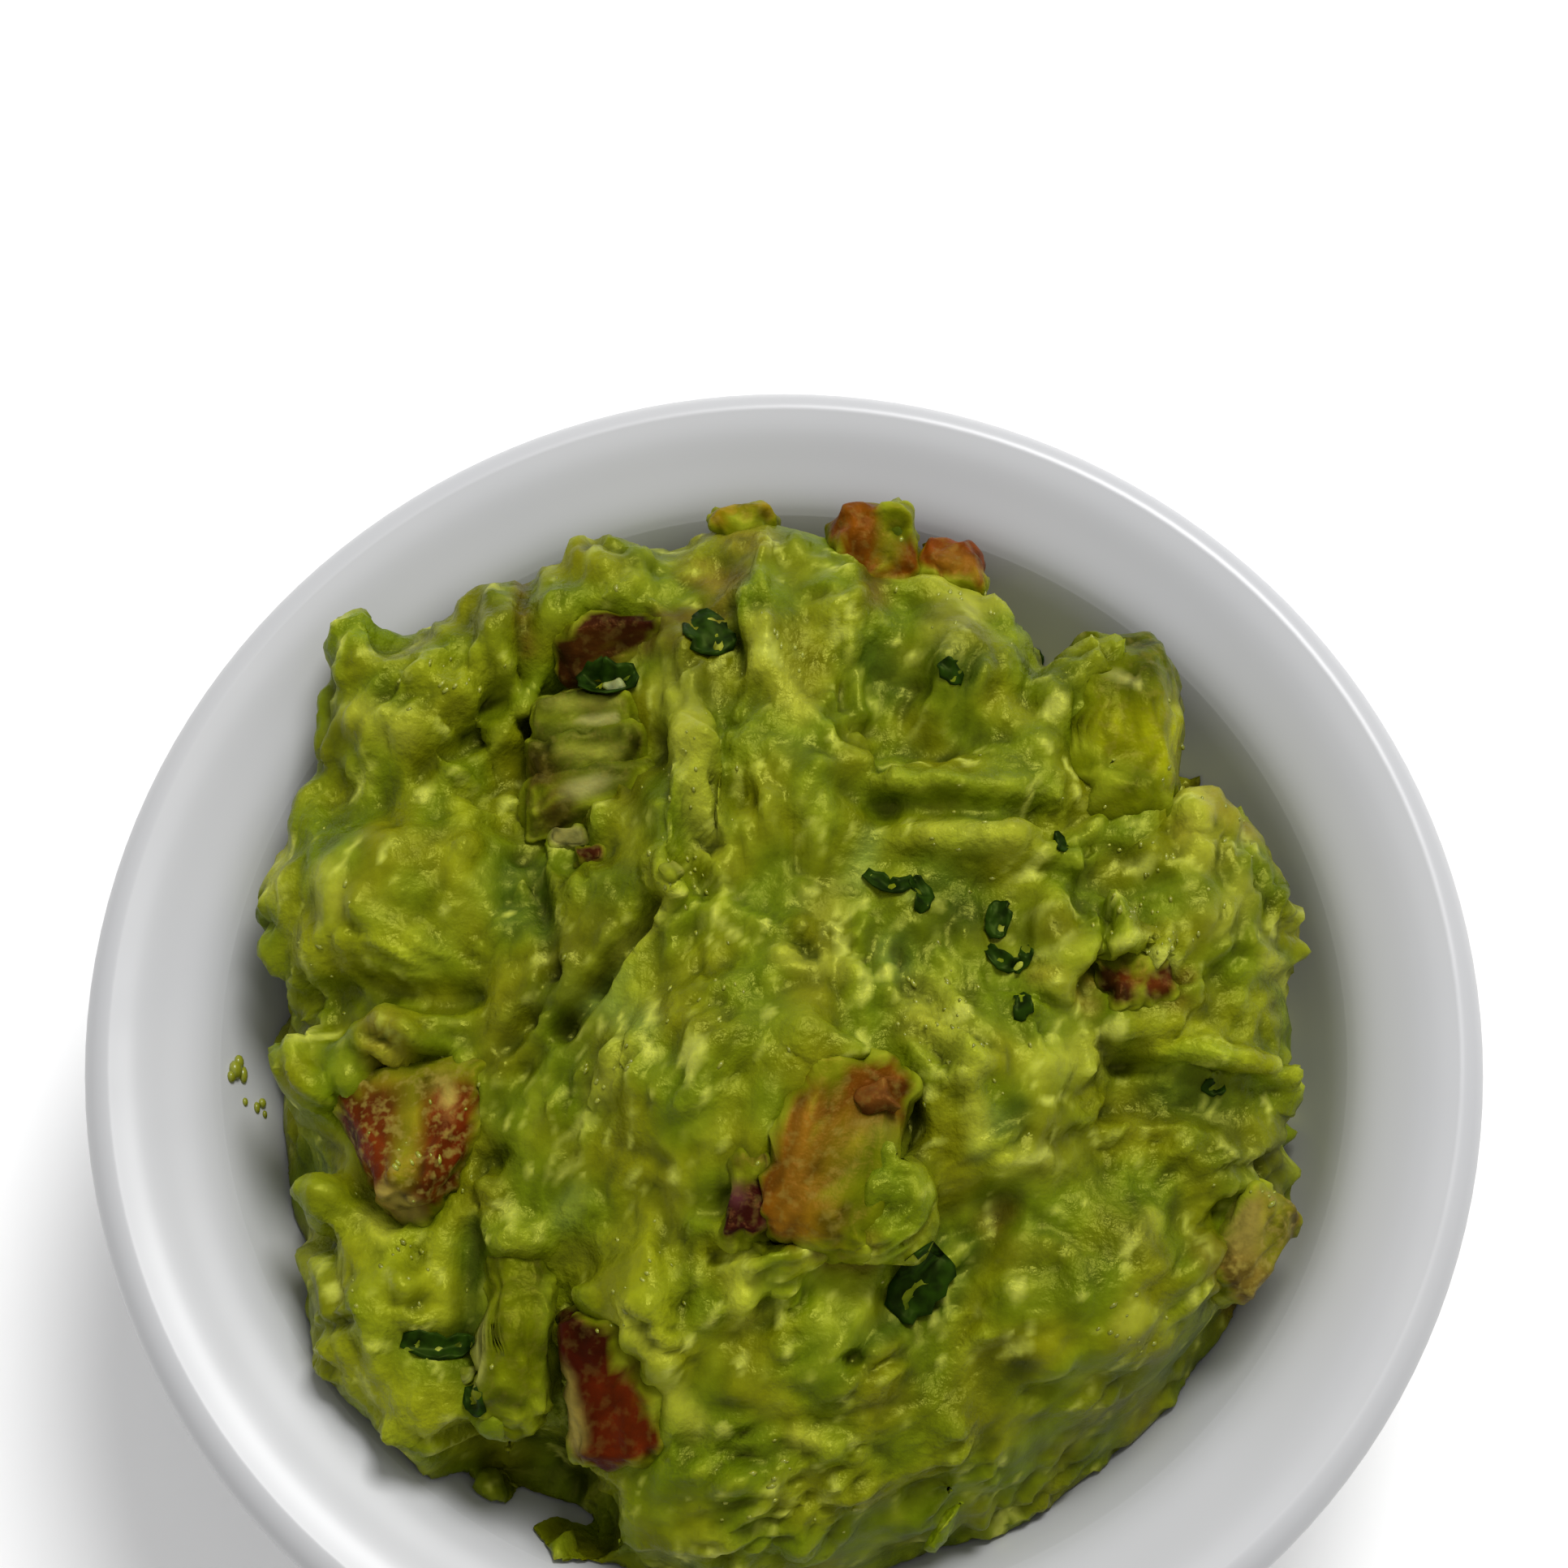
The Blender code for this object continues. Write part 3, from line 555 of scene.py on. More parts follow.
def one_skin(bm, voxel):
    """The outer skin of everything in the bmesh, as one even mesh."""
    rough = add_piece("rough", bm)
    join = rough.modifiers.new("join", "REMESH")
    join.mode = "VOXEL"
    join.voxel_size = voxel
    skin = bpy.data.meshes.new_from_object(rough.evaluated_get(bpy.context.evaluated_depsgraph_get()))
    bpy.data.objects.remove(rough)
    return skin


def places(mesh):
    """The vertices' places as rows of an array."""
    values = np.empty(len(mesh.vertices) * 3, np.float32)
    mesh.vertices.foreach_get("co", values)
    return values.reshape(-1, 3).astype(float)


def place(mesh, points):
    """Moves the vertices to these places."""
    mesh.vertices.foreach_set("co", points.astype(np.float32).ravel())
    mesh.update()


def vertex_normals(mesh):
    """The vertices' normals as rows of an array."""
    values = np.empty(len(mesh.vertices) * 3, np.float32)
    mesh.vertex_normals.foreach_get("vector", values)
    return values.reshape(-1, 3).astype(float)


def smoothed(values, mesh, rounds, share=0.5):
    """Each vertex's value drawn towards the mean of its neighbours, this many times."""
    ends = np.empty(len(mesh.edges) * 2, np.int32)
    mesh.edges.foreach_get("vertices", ends)
    starts, stops = ends[::2], ends[1::2]
    size = len(values)
    count = np.bincount(ends, minlength=size)[:, None]
    for _ in range(rounds):
        total = np.stack(
            [
                np.bincount(starts, column[stops], size) + np.bincount(stops, column[starts], size)
                for column in values.T
            ],
            axis=1,
        )
        values = values + share * (total / count - values)
    return values


def stroke(points, x0, y0, x1, y1, half_width):
    """How much of a stroke between two places, in mm, each point has: 1 on its line, 0 beside it."""
    start = np.array((x0, y0)) * MM
    way = np.array((x1, y1)) * MM - start
    share = np.clip(((points[:, :2] - start) @ way) / max(way @ way, 1e-9), 0, 1)
    distance = np.hypot(*(points[:, :2] - start - share[:, None] * way).T) / (half_width * MM)
    return np.clip(1 - (distance / 1.7) ** 2, 0, 1) ** 2


def well_radius(z):
    """How wide the well is at height z, a gap inside its wall."""
    radii, heights = zip(*well_wall)
    return np.interp(z, heights, radii) - GAP


HEAP_TOP = max(values[2] for values in LUMPS.values()) * MM
sheet_line = (np.arange(int(2 * SHEET_HALF / SHEET_STEP)) + 0.5) * SHEET_STEP - SHEET_HALF
sheet_flow = flow(*np.meshgrid(sheet_line, sheet_line))
folds, curds, shreds, fibres = (
    smear_sheet(width * MM, length * MM) for width, length in ((3.4, 6), (1.7, 3.4), (0.9, 2.6), (0.45, 2))
)

bm = bmesh.new()
for values in LUMPS.values():
    bmesh.ops.create_icosphere(bm, subdivisions=4, radius=1, matrix=lump(*values))
bmesh.ops.create_cone(
    bm,
    cap_ends=True,
    segments=TURN_STEPS,
    radius1=WELL_TOP_RADIUS,
    radius2=WELL_TOP_RADIUS,
    depth=MASH_LEVEL - WELL_FLOOR_HEIGHT,
    matrix=Matrix.Translation((0, 0, (MASH_LEVEL + WELL_FLOOR_HEIGHT) / 2)),
)
heap = one_skin(bm, LUMP_VOXEL)
points = smoothed(places(heap), heap, RUN_TOGETHER)
for x, y, z, half_x, half_y, half_z, turn in HOLLOWS.values():
    inverse = np.array(ellipsoid(x, y, z, half_x, half_y, half_z, turn).inverted())
    local = points @ inverse[:3, :3].T + inverse[:3, 3]
    aside = (local[:, :2] ** 2).sum(1)
    pressed = (aside < 1) & (local[:, 2] > -np.sqrt(np.clip(1 - aside, 0, 1))) & (points[:, 2] > MASH_LEVEL)
    floor = z * MM - half_z * MM * np.sqrt(np.clip(1 - aside, 0, 1))
    points[pressed, 2] = np.maximum(floor[pressed], MASH_LEVEL)
place(heap, points)

bm = bmesh.new()
bm.from_mesh(heap)
for values in KNOBS.values():
    bmesh.ops.create_icosphere(bm, subdivisions=3, radius=1, matrix=lump(*values))
lump_matrices = [lump(*values) for values in LUMPS.values()]
lump_inverses = [matrix.inverted() for matrix in lump_matrices]
bits = 0
while bits < BITS:
    pick = mash_random.randrange(len(lump_matrices))
    bit = small_bit(lump_matrices[pick], lump_inverses[:pick] + lump_inverses[pick + 1 :])
    if bit:
        bmesh.ops.create_icosphere(bm, subdivisions=2, radius=1, matrix=bit)
        bits += 1
mash_mesh = one_skin(bm, SKIN_VOXEL)
mash_mesh.shade_smooth()
place(mash_mesh, smoothed(places(mash_mesh), mash_mesh, 3))
points, normals = places(mash_mesh), vertex_normals(mash_mesh)
upper = np.clip(normals[:, 2] * 2 + 0.2, 0, 1) * (points[:, 2] > MASH_LEVEL + 3 * MM)
rough = np.clip(0.5 + 0.4 * laid(folds[::-1], points), 0.15, 1.2)
for *line, share in GRAINY:
    rough += stroke(points, *line) * share
stand_out = 0.26 * laid(folds, points) + rough * 0.50 * np.abs(laid(curds, points))
stand_out += rough * (0.28 * laid(shreds, points) + 0.12 * laid(fibres, points)) - 0.3
stand_out *= MM * (points[:, 2] > 0.5 * MASH_LEVEL)
for *line, height in CRESTS:
    stand_out += stroke(points, *line) * upper * height * MM
for *line, depth in CREASES:
    stand_out -= stroke(points, *line) * upper * depth * MM
points = points + normals * stand_out[:, None]
points[:, 2] -= TOP_SQUASH * np.clip(points[:, 2] - HEAP_TOP, 0, None)
radius = np.hypot(points[:, 0], points[:, 1])
reach = np.where(points[:, 2] < WELL_TOP_HEIGHT, well_radius(points[:, 2]), radius)
points[:, :2] *= np.minimum(1, reach / np.maximum(radius, MM))[:, None]
points[:, 2] = np.maximum(points[:, 2], WELL_FLOOR_HEIGHT + GAP)
place(mash_mesh, points)

mash_surface = BVHTree.FromPolygons(points.tolist(), [tuple(p.vertices) for p in mash_mesh.polygons])

# The flesh's colour: yellow to green, pale on the crests as painted light, deep in the creases as painted
# shade, and with stains and strokes of painted shade and highlight.
FLESH, FLESH_GREEN, FLESH_YELLOW = "616904", "556504", "6C6C05"
# A pale flesh that paints light on the crests, a pale pulp that paints highlights, a dark flesh that paints
# shade in the creases.
PALE_FLESH_AND_CREST_LIGHT, PALE_PULP_AND_HIGHLIGHT, DARK_FLESH_AND_CREASE_SHADE = "8A921C", "B4B84A", "2A3202"
MASH_SHINE = "E4E45C"
# Stains and tones of the mash and smears of leaf, with painted shade and painted highlight among them:
# colour, then strokes as x and y of both ends and half width in mm.
STAINS_AND_PAINTED_LIGHT = {
    # Painted shade: near black in the gap beside a tomato dice, along the fold on the left and in the hole
    # by the near wall.
    "1A1004": (
        (9, -8.8, 9.8, -13.4, 1.1), (-12, 5, -15, 0.6, 0.7), (-15, 0.6, -17.4, -2.8, 0.7),
        (-17.4, -33.6, -15.6, -37, 1),
    ),
    # Brown stains, several of them lying along creases as painted shade.
    "4E2E0A": (
        (-19, 22, -17.6, 16, 1.5), (-22.4, 38, -21.4, 30, 0.7), (-12.6, 30, -9.2, 30.2, 1.2),
        (24, 1, 32, 1.5, 0.8), (7.6, 40, 7.6, 34, 1.2), (-8, 37.4, -4, 36, 1.3), (16, -18, 17, -17, 1.2),
        (33, -20, 37, -22, 1.6), (30, 0, 31, -1, 1), (1, -20, 6, -21, 1.2), (-10.6, 32.2, -5.4, 32.6, 1.1),
    ),
    "7E6C1E": (
        (38, 15, 34, 16.6, 1.5), (36, 22, 38, 23, 1.3), (-32, -2.6, -31, -6, 1.6), (33, 14, 35, 18, 1.2),
        (20, 1, 24, -1, 1), (-7, 37, -5, 34.6, 1.2), (40, -16, 38, -18, 1.4), (-5, 43, -3, 39.8, 2.4),
    ),
    # Dark green: partly smears of chopped leaf, partly painted shade in creases and valleys.
    "263E0A": (
        (7, 28.4, 9.6, 26.4, 2), (13.6, 27, 13, 29, 1.2), (16, 28, 15, 26, 1.2), (-20, 11, -19, 4.6, 1),
        (9, 4, 10, -1, 1.2), (12, 9, 15, 6, 1.7), (30, -7.6, 34, -8, 2), (-29, -26.4, -25, -26, 1.5),
        (10.6, 38, 10, 40, 1.2), (-17, 27.4, -14, 27, 1.6), (-22, 6, -22, 11, 1.2), (11, -22, 12, -20, 1.4),
        (6, -28, 9, -25, 1), (17, -12, 18, -10, 1), (-24, -18, -24.4, -25, 1), (14, -20, 12, -24, 1.4),
    ),
    "68782A": (
        (-14, -1, -11, -3.4, 1.5), (-13, 1, -15, -1, 1), (9.6, 7.6, 10.4, 7, 0.6), (7, 12.4, 6, 9, 1),
        (-17, -17.4, -16, -16, 1), (16, -11, 15, -13, 1), (8, 3, 9, 1, 1),
    ),
    "868A10": (
        (-38, 4.6, -30, 4.2, 1.4), (-26.4, 17.4, -26.2, 16, 1.2), (-11, -20, -9, -27, 2),
        (-27, -20.4, -26.6, -22, 1.1), (28, -2, 34, -3, 1.4), (-30, 27, -24, 28, 2),
        (-13, 13, -12, 11, 1.2), (22, 34, 24, 31, 1.4), (42, -12, 42.4, -15, 1.2), (-27, 12.4, -26, 10, 1),
        (-30, -32, -26, -33, 1.4), (-34, -18, -30, -24, 2.6), (-28, -20, -27, -24, 2),
        (-35, -27, -28, -31.6, 2.2),
    ),
    # Painted highlight: pale strokes along crests and ridges.
    "A0A22E": (
        (-9, 26, -7.4, 20, 1.8), (-8, 20, -6, 12, 1.4), (-2, 31, -2, 27, 1), (0, 26, 1.4, 23, 1.2),
        (20, -6.4, 24.6, -4.6, 1.6), (33, 19, 34, 12, 1.8), (11, -1.4, 13, -4.4, 2.2),
        (-37, 10, -36, 8, 1.4), (-42, 14, -42, 10, 1.3), (14.6, -10, 15, -12.6, 0.9),
        (17, -14.2, 20, -13.4, 0.9), (-3.2, -22, -3.2, -25, 1.1), (-14.4, -8.2, -12.4, -5.6, 1.2),
        (14, -7.6, 15, -6.6, 1), (28.4, -17.6, 27.6, -19.4, 0.9), (14, 36, 18, 34.6, 1.6),
        (12, 12.6, 18, 11.6, 1.2), (-35, 24.4, -31.4, 22.6, 1.4), (-38.4, -18, -37.6, -20, 1.2),
        (-32.4, -17, -31, -18.4, 1), (26, -26, 27, -25, 1), (-9, -31, -7, -33, 1.2),
        (1, -34.2, 2.4, -34.4, 0.8), (5, 1, 0, 1.8, 1), (-12.6, 3, -9, 7.2, 0.8), (15.6, 34, 13, 31, 1.6),
        (37, 9, 35, 6, 1.4), (39, 3.4, 41, 2.6, 0.9), (9.4, 36.9, 18, 36.5, 0.9),
        (-12.4, -25.6, -9, -29, 0.9),
    ),
}
# Strokes that make the mash darker (negative share) or paler (positive share): the darker ones partly
# painted shade in folds and valleys and partly darker patches of the mash, the paler ones painted light on
# knobs and crests; x and y of both ends, half width, share.
SHADES = (
    (-10.2, 31.6, -9.4, 29.6, 2.2, -0.4), (-7, 27.6, -6.4, 25, 2, -0.45), (0.4, 30, 1.4, 28, 2.2, -0.25),
    (13.7, 32, 13.9, 28.6, 2.2, -0.45), (-24.9, 36, -24, 33, 1.6, -0.3),
    (-12.6, 18.6, -12, 15.6, 1.6, -0.35), (-20.4, 18, -18.6, 15.6, 1.8, -0.25),
    (-14.2, 8, -15.2, 4.4, 1.8, -0.4), (-18, 2.2, -17.8, -1, 2.2, -0.5),
    (-16.4, -3.4, -15.4, -6, 1.8, -0.35), (-20.6, 12, -18.8, 7, 1.5, -0.3),
    (-22.8, -4.6, -21, -1, 1.5, -0.4), (22.4, 30, 23, 26.6, 1.8, -0.35), (0.4, 10.4, 3.6, 3.4, 1.6, -0.25),
    (11.4, 6.1, 20, 4.6, 2.4, -0.35), (28, -1.2, 30, -0.4, 1.6, -0.35), (34.6, 7.2, 40, 9.6, 3, -0.25),
    (35.4, -12.2, 38.6, -13.4, 2.8, -0.4), (26.4, -8.4, 29, -9, 1.8, -0.25),
    (18.4, -11.4, 20.4, -12.6, 1.8, -0.3), (16.4, -19.6, 19.6, -21, 2.2, -0.3),
    (26, -19.6, 28, -20.4, 1.8, -0.2), (14.4, -31.2, 16.8, -30.6, 2.4, -0.3),
    (-23, -15.4, -23, -8, 1.7, -0.3), (-16.6, -15, -16.8, -12, 1.5, -0.25),
    (-24.4, -28.6, -24, -22, 1.5, -0.3), (-6.9, -5.6, -6.4, -5, 1.4, -0.2),
    (26.6, -29.6, 28.6, -28.4, 2, -0.2), (5, -31, 8, -32, 2.4, -0.15), (-2.4, -25, 2, -23.4, 2, 0.35),
    (2, -23.4, 8.8, -21.2, 1.5, 0.3), (-4.6, -19.6, -3.6, -20, 1.8, 0.25),
    (-12.4, -24.6, -11.6, -26, 1.6, 0.25), (15, -14.4, 16.8, -14.6, 1.4, 0.35),
    (24.6, 2.8, 25.2, 1, 1.2, 0.25), (13, 10.8, 18.4, 10.6, 1.4, 0.25), (30, -4.4, 41, -6, 1.1, 0.3),
    (-36, 31.6, -33, 31.8, 2, 0.3), (-37.6, -7.6, -36.4, -9, 1.8, 0.35),
    (-32, -17.6, -29.4, -18.6, 1.6, 0.3), (-17.4, -25, -17.6, -29, 1, 0.25),
    (-31.6, 2.6, -27, 2.2, 1.2, 0.25), (-10.4, -12.6, -8.4, -14.4, 1.6, 0.2),
    (-7, 12.4, -7.9, 7, 1.1, 0.25), (20, -28.4, 23, -27, 1.6, 0.25), (16, -6, 19, -6.6, 1.6, 0.2),
)


def mixed(base, other, share):
    """Rows of linear colours drawn towards another colour by each row's share."""
    return base + (np.array(linear(other)[:3]) - base) * share[:, None]


def paint_points(mesh, colors, alpha):
    """Keeps these rows of linear colours and this alpha on the mesh, as its flesh colours."""
    layer = mesh.color_attributes.new("flesh", "FLOAT_COLOR", "POINT")
    layer.data.foreach_set("color", np.c_[colors, alpha].astype(np.float32).ravel())


normals = vertex_normals(mash_mesh)
wide = ((points - smoothed(points, mash_mesh, 40)) * normals).sum(1) / (1.2 * MM)
fine = ((points - smoothed(points, mash_mesh, 5)) * normals).sum(1) / (0.3 * MM)
blotch = np.array([noise.noise(Vector(point) / (5 * MM)) for point in points])
grain = 0.7 * laid(curds[::-1], points) + 0.4 * laid(shreds[::-1], points) + 0.2 * laid(fibres[::-1], points)
flesh = np.tile(np.array(linear(FLESH)[:3]), (len(points), 1))
flesh = mixed(flesh, FLESH_GREEN, np.clip(0.4 + 1.4 * blotch, 0, 1))
flesh = mixed(flesh, FLESH_YELLOW, np.clip(0.1 - 1.4 * blotch, 0, 1))
for stain, lines in STAINS_AND_PAINTED_LIGHT.items():
    for line in lines:
        flesh = mixed(flesh, stain, 0.7 * stroke(points, *line))
streak = 0.75 * laid(shreds[::-1], points) + 0.65 * laid(fibres[::-1], points) + 0.35 * fine
# Painted light: paler where the surface bulges, along crests, and where the curds run.
flesh = mixed(flesh, PALE_FLESH_AND_CREST_LIGHT, np.clip(0.20 * wide + 0.14 * fine + 0.22 * grain, 0, 0.85))
# Painted highlight: pale pulp streaks, brightest along small crests.
flesh = mixed(flesh, PALE_PULP_AND_HIGHLIGHT, np.clip(0.6 * (streak - 1.35) + 0.3 * np.clip(grain, 0, 1) - 0.1, 0, 0.85))
# Painted shade: darker where the surface dips, in creases and hollows.
flesh = mixed(flesh, DARK_FLESH_AND_CREASE_SHADE, np.clip(-0.45 * wide - 0.25 * fine - 0.30 * grain - 0.05, 0, 0.9))
# Painted shade and painted light from the strokes above.
for *line, share in SHADES:
    flesh *= 1 + share * stroke(points, *line)[:, None]
paint_points(mash_mesh, flesh, np.ones(len(flesh)))

# Crushed avocado: soft moist flesh that light enters a little way, so it glows at thin edges; its fibres
# and oil leave fine pale grains and a thin wet film that glints on the crests.
avocado, tree, shader, where = new_material("crushed avocado")
own = add_node(tree, "Attribute", {"attribute_name": "flesh"}).outputs["Color"]
grain = add_node(tree, "TexNoise", Vector=where, Scale=1 / (1.6 * MM), Detail=2.0).outputs["Fac"]
lift = add_node(tree, "MapRange", _0=grain, _1=0.3, _2=0.7, _3=0.85, _4=1.15).outputs[0]
shade = add_node(tree, "VectorMath", {"operation": "SCALE"}, _0=own, Scale=lift).outputs[0]
tree.links.new(shade, shader.inputs["Base Color"])
wet = add_node(tree, "MapRange", _0=grain, _1=0.3, _2=0.7, _3=0.28, _4=0.48).outputs[0]
tree.links.new(wet, shader.inputs["Roughness"])
shader.inputs["Specular IOR Level"].default_value = 0.4
shader.inputs["Specular Tint"].default_value = linear(MASH_SHINE)
shader.inputs["Subsurface Weight"].default_value = 0.2
shader.inputs["Subsurface Radius"].default_value = (1.0, 0.85, 0.1)
shader.inputs["Subsurface Scale"].default_value = 0.7 * MM
film = add_node(tree, "TexNoise", Vector=where, Scale=1 / (1.0 * MM), Detail=4.0).outputs["Fac"]
drift = add_node(tree, "TexNoise", Vector=where, Scale=1 / (7 * MM), Detail=1.0).outputs["Fac"]
ragged = add_node(tree, "MapRange", _0=drift, _1=0.42, _2=0.6, _3=0.35, _4=0.9).outputs[0]
bump = add_node(tree, "Bump", Strength=ragged, Distance=0.4 * MM, Height=film).outputs[0]
tree.links.new(bump, shader.inputs["Normal"])
mash_mesh.materials.clear()
mash_mesh.materials.append(avocado)
mash = bpy.data.objects.new("mashed_avocado", mash_mesh)
bpy.context.scene.collection.objects.link(mash)
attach(mash, "root")
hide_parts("mash")

# ---------------------------------------------------------------------------------------------------------
# Tomato: ripe tomato cut in uneven dice, soft and wet, with slightly ragged cut faces. The dice are half
# buried in the heap, and smears of mash dried on them dull most of their gloss.
# Centre x, y and z, size along x, y and z in mm, turns about X, Y and Z in degrees, the width of the -Y end
# as a share of the other end's, how much more mash than usual is smeared on, how flecked it is, and its
# flesh colour.
TOMATO = {
    "tomato_1": (3.7, -13.2, 41, 8.8, 15.5, 10, -6, 6, -14, 1, 0.4, 0.3, "5E3604"),
    "tomato_2": (-28.8, -11.2, 35.4, 14.6, 12, 9, -12, -8, 4, 0.34, -0.3, 0.65, "562606"),
    "tomato_3": (-12.6, -29.7, 35.4, 8.4, 10.8, 9.2, 20, -6, 3, 0.9, 0, 0.1, "300602"),
    "tomato_4": (7.7, 39.8, 34.3, 7, 7.8, 10.4, 6, 0, 4, 1, -0.15, 0.2, "5E3202"),
    "tomato_5": (14.4, 38, 33.8, 5.2, 5.6, 9, 0, 0, -4, 1, 0.05, 0.2, "5E2A01"),
    "tomato_6": (-3.2, 42.2, 33.6, 4.8, 4.6, 9, 10, 0, 5, 1, 0.3, 0.3, "7C6808"),
    "tomato_7": (-14.2, 31.4, 35.2, 11, 5.4, 8, 28, 0, 4, 1, -0.2, 0.1, "2C1603"),
    "tomato_8": (28, 0.8, 37.9, 7.4, 5.6, 6, -8, 8, 10, 0.8, -0.2, 0.2, "2A1804"),
    "tomato_9": (35.6, -18.4, 31.4, 6, 9, 10, 0, 22, -32, 0.8, 0.15, 0.8, "60501A"),
}
FLECKS = "867832"
# Where a face shows skin, seeds or deeper flesh, with painted shade and painted highlights among them:
# colour, then strokes as the mash's stains.
TOMATO_PATCHES = {
    "4E2006": ((6.8, -9.8, 8, -11, 1.5), (27, 0.8, 30, 0.8, 0.9)),
    "541A04": (
        (-35.2, -10, -31.6, -14.6, 2.4), (-26.2, -7.8, -24.6, -12.6, 2.4), (-12.2, -31, -11.4, -34.6, 2.4),
    ),
    # Deep red flesh, with painted shade in the gap beside the first dice (its first stroke).
    "240602": (
        (9.8, -9.2, 10.4, -13.4, 1.2), (-16.4, -24, -15.4, -27, 1.6), (-14.4, -27, -10.6, -29, 1.4),
        (-18, 32.4, -10, 32, 1), (-29.6, -17.2, -29.4, -17.8, 0.7), (-23, -10, -23.2, -12.6, 0.8),
    ),
    "74500E": ((2.6, -7, 0.2, -20, 1.3), (-36, -11.6, -31.6, -16.6, 0.5), (14, 38, 16, 37, 1.4)),
    # Pale seeds and flesh, with painted highlights on two of the dice.
    "8E8038": (
        (-17, -29.8, -15.8, -34.2, 0.9), (-31, -15.8, -28.6, -17, 0.8), (-26.8, -6, -26.2, -8.6, 0.6),
        (7.2, -12.2, 8.2, -13.2, 0.8), (35, -15, 36, -18, 1.8),
    ),
    "70700E": (
        (6.6, -14.4, 6, -20.6, 3.4), (-29.2, -5, -29.4, -14.6, 1.1), (-35, -5.6, -24, -5.2, 1.6),
        (39, -15, 38.4, -19.6, 1.3), (8.8, 38.6, 9, 42, 1), (-3, 43, -2, 41, 1),
    ),
}
SOFTENING = 10
# The draw that skews and dents the pieces: the same number always gives the same shapes.
UNEVENNESS_SEED = 1795409792
noise.seed_set(UNEVENNESS_SEED)


def dice_bmesh(size, near, seed, skew=0.16, unevenness=0.5 * MM):
    """A cut cube with rounded edges and skewed faces, its -Y end this share as wide as the other."""
    bm = bmesh.new()
    bmesh.ops.create_cube(bm, size=1)
    for vert in bm.verts:
        draw = noise.noise_vector(vert.co * 3 + Vector((seed, seed * 0.7, 0)))
        vert.co += draw * skew
        vert.co.x *= near if vert.co.y < 0 else 1
    bmesh.ops.scale(bm, vec=size, verts=bm.verts)
    rounding = min(size) * 0.22
    bmesh.ops.bevel(
        bm, geom=bm.edges, offset=rounding, segments=3, profile=0.5, affect="EDGES", material=-1
    )
    bmesh.ops.subdivide_edges(bm, edges=bm.edges, cuts=6, use_grid_fill=True)
    for _ in range(SOFTENING):
        bmesh.ops.smooth_vert(
            bm, verts=bm.verts, factor=0.5, use_axis_x=True, use_axis_y=True, use_axis_z=True
        )
    for vert in bm.verts:
        vert.co += noise.noise_vector(vert.co / (4 * MM) + Vector((0, seed, 0))) * unevenness
        vert.co += noise.noise_vector(vert.co / (1.6 * MM) + Vector((seed, 0, 0))) * 0.6 * MM
    return bm


def placed(bm, values):
    """Moves a shape made at the origin to its place: x, y, z in mm, then turns in degrees."""
    turn = Euler([math.radians(angle) for angle in values[6:9]]).to_matrix().to_4x4()
    bmesh.ops.transform(bm, matrix=Matrix.Translation(Vector(values[:3]) * MM) @ turn, verts=bm.verts)


def smeared_piece(name, bm, seed, hex_color, patches, finish, film, flecked):
    """The shape as a piece with its own flesh colours, and mash smeared over it, most near the mash."""
    piece = add_piece(name, bm, finish)
    mesh = piece.data
    spots, normals = places(mesh), vertex_normals(mesh)
    depth = np.array([mash_surface.find_nearest(Vector(spot), 3 * MM)[3] or 3 * MM for spot in spots]) / MM
    patchy = np.array([noise.noise(Vector(spot) / (2.4 * MM) + Vector((seed, 0, 0))) for spot in spots])
    streak = laid(shreds[::-1], spots) + 0.7 * laid(fibres[::-1], spots)
    speckle = np.array([noise.noise(Vector(spot) / (0.9 * MM) + Vector((0, seed, 0))) for spot in spots])
    tone = np.tile(np.array(linear(hex_color)[:3]), (len(spots), 1))
    for color, lines in patches.items():
        for line in lines:
            tone = mixed(tone, color, 0.85 * stroke(spots, *line))
    tone *= (1 + 0.5 * patchy + 0.5 * speckle + 0.12 * streak)[:, None]
    sides = np.clip(1.1 - 1.6 * normals[:, 2], 0, 1)
    cover = np.clip(film + 0.7 * sides + 0.9 - 0.9 * depth + 1.4 * patchy + 0.7 * speckle, 0, 1)
    tone = mixed(tone, FLESH, 0.9 * cover)
    tone = mixed(tone, PALE_FLESH_AND_CREST_LIGHT, cover * np.clip(0.4 * streak, 0, 0.8))
    tone = mixed(tone, DARK_FLESH_AND_CREASE_SHADE, cover * np.clip(-0.25 * streak, 0, 0.5))
    place(mesh, spots + normals * (cover * (0.3 + 0.14 * streak) * MM)[:, None])
    paint_points(mesh, np.clip(tone, 0, 1), flecked * (1 - cover))
    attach(piece, "root")
    return piece


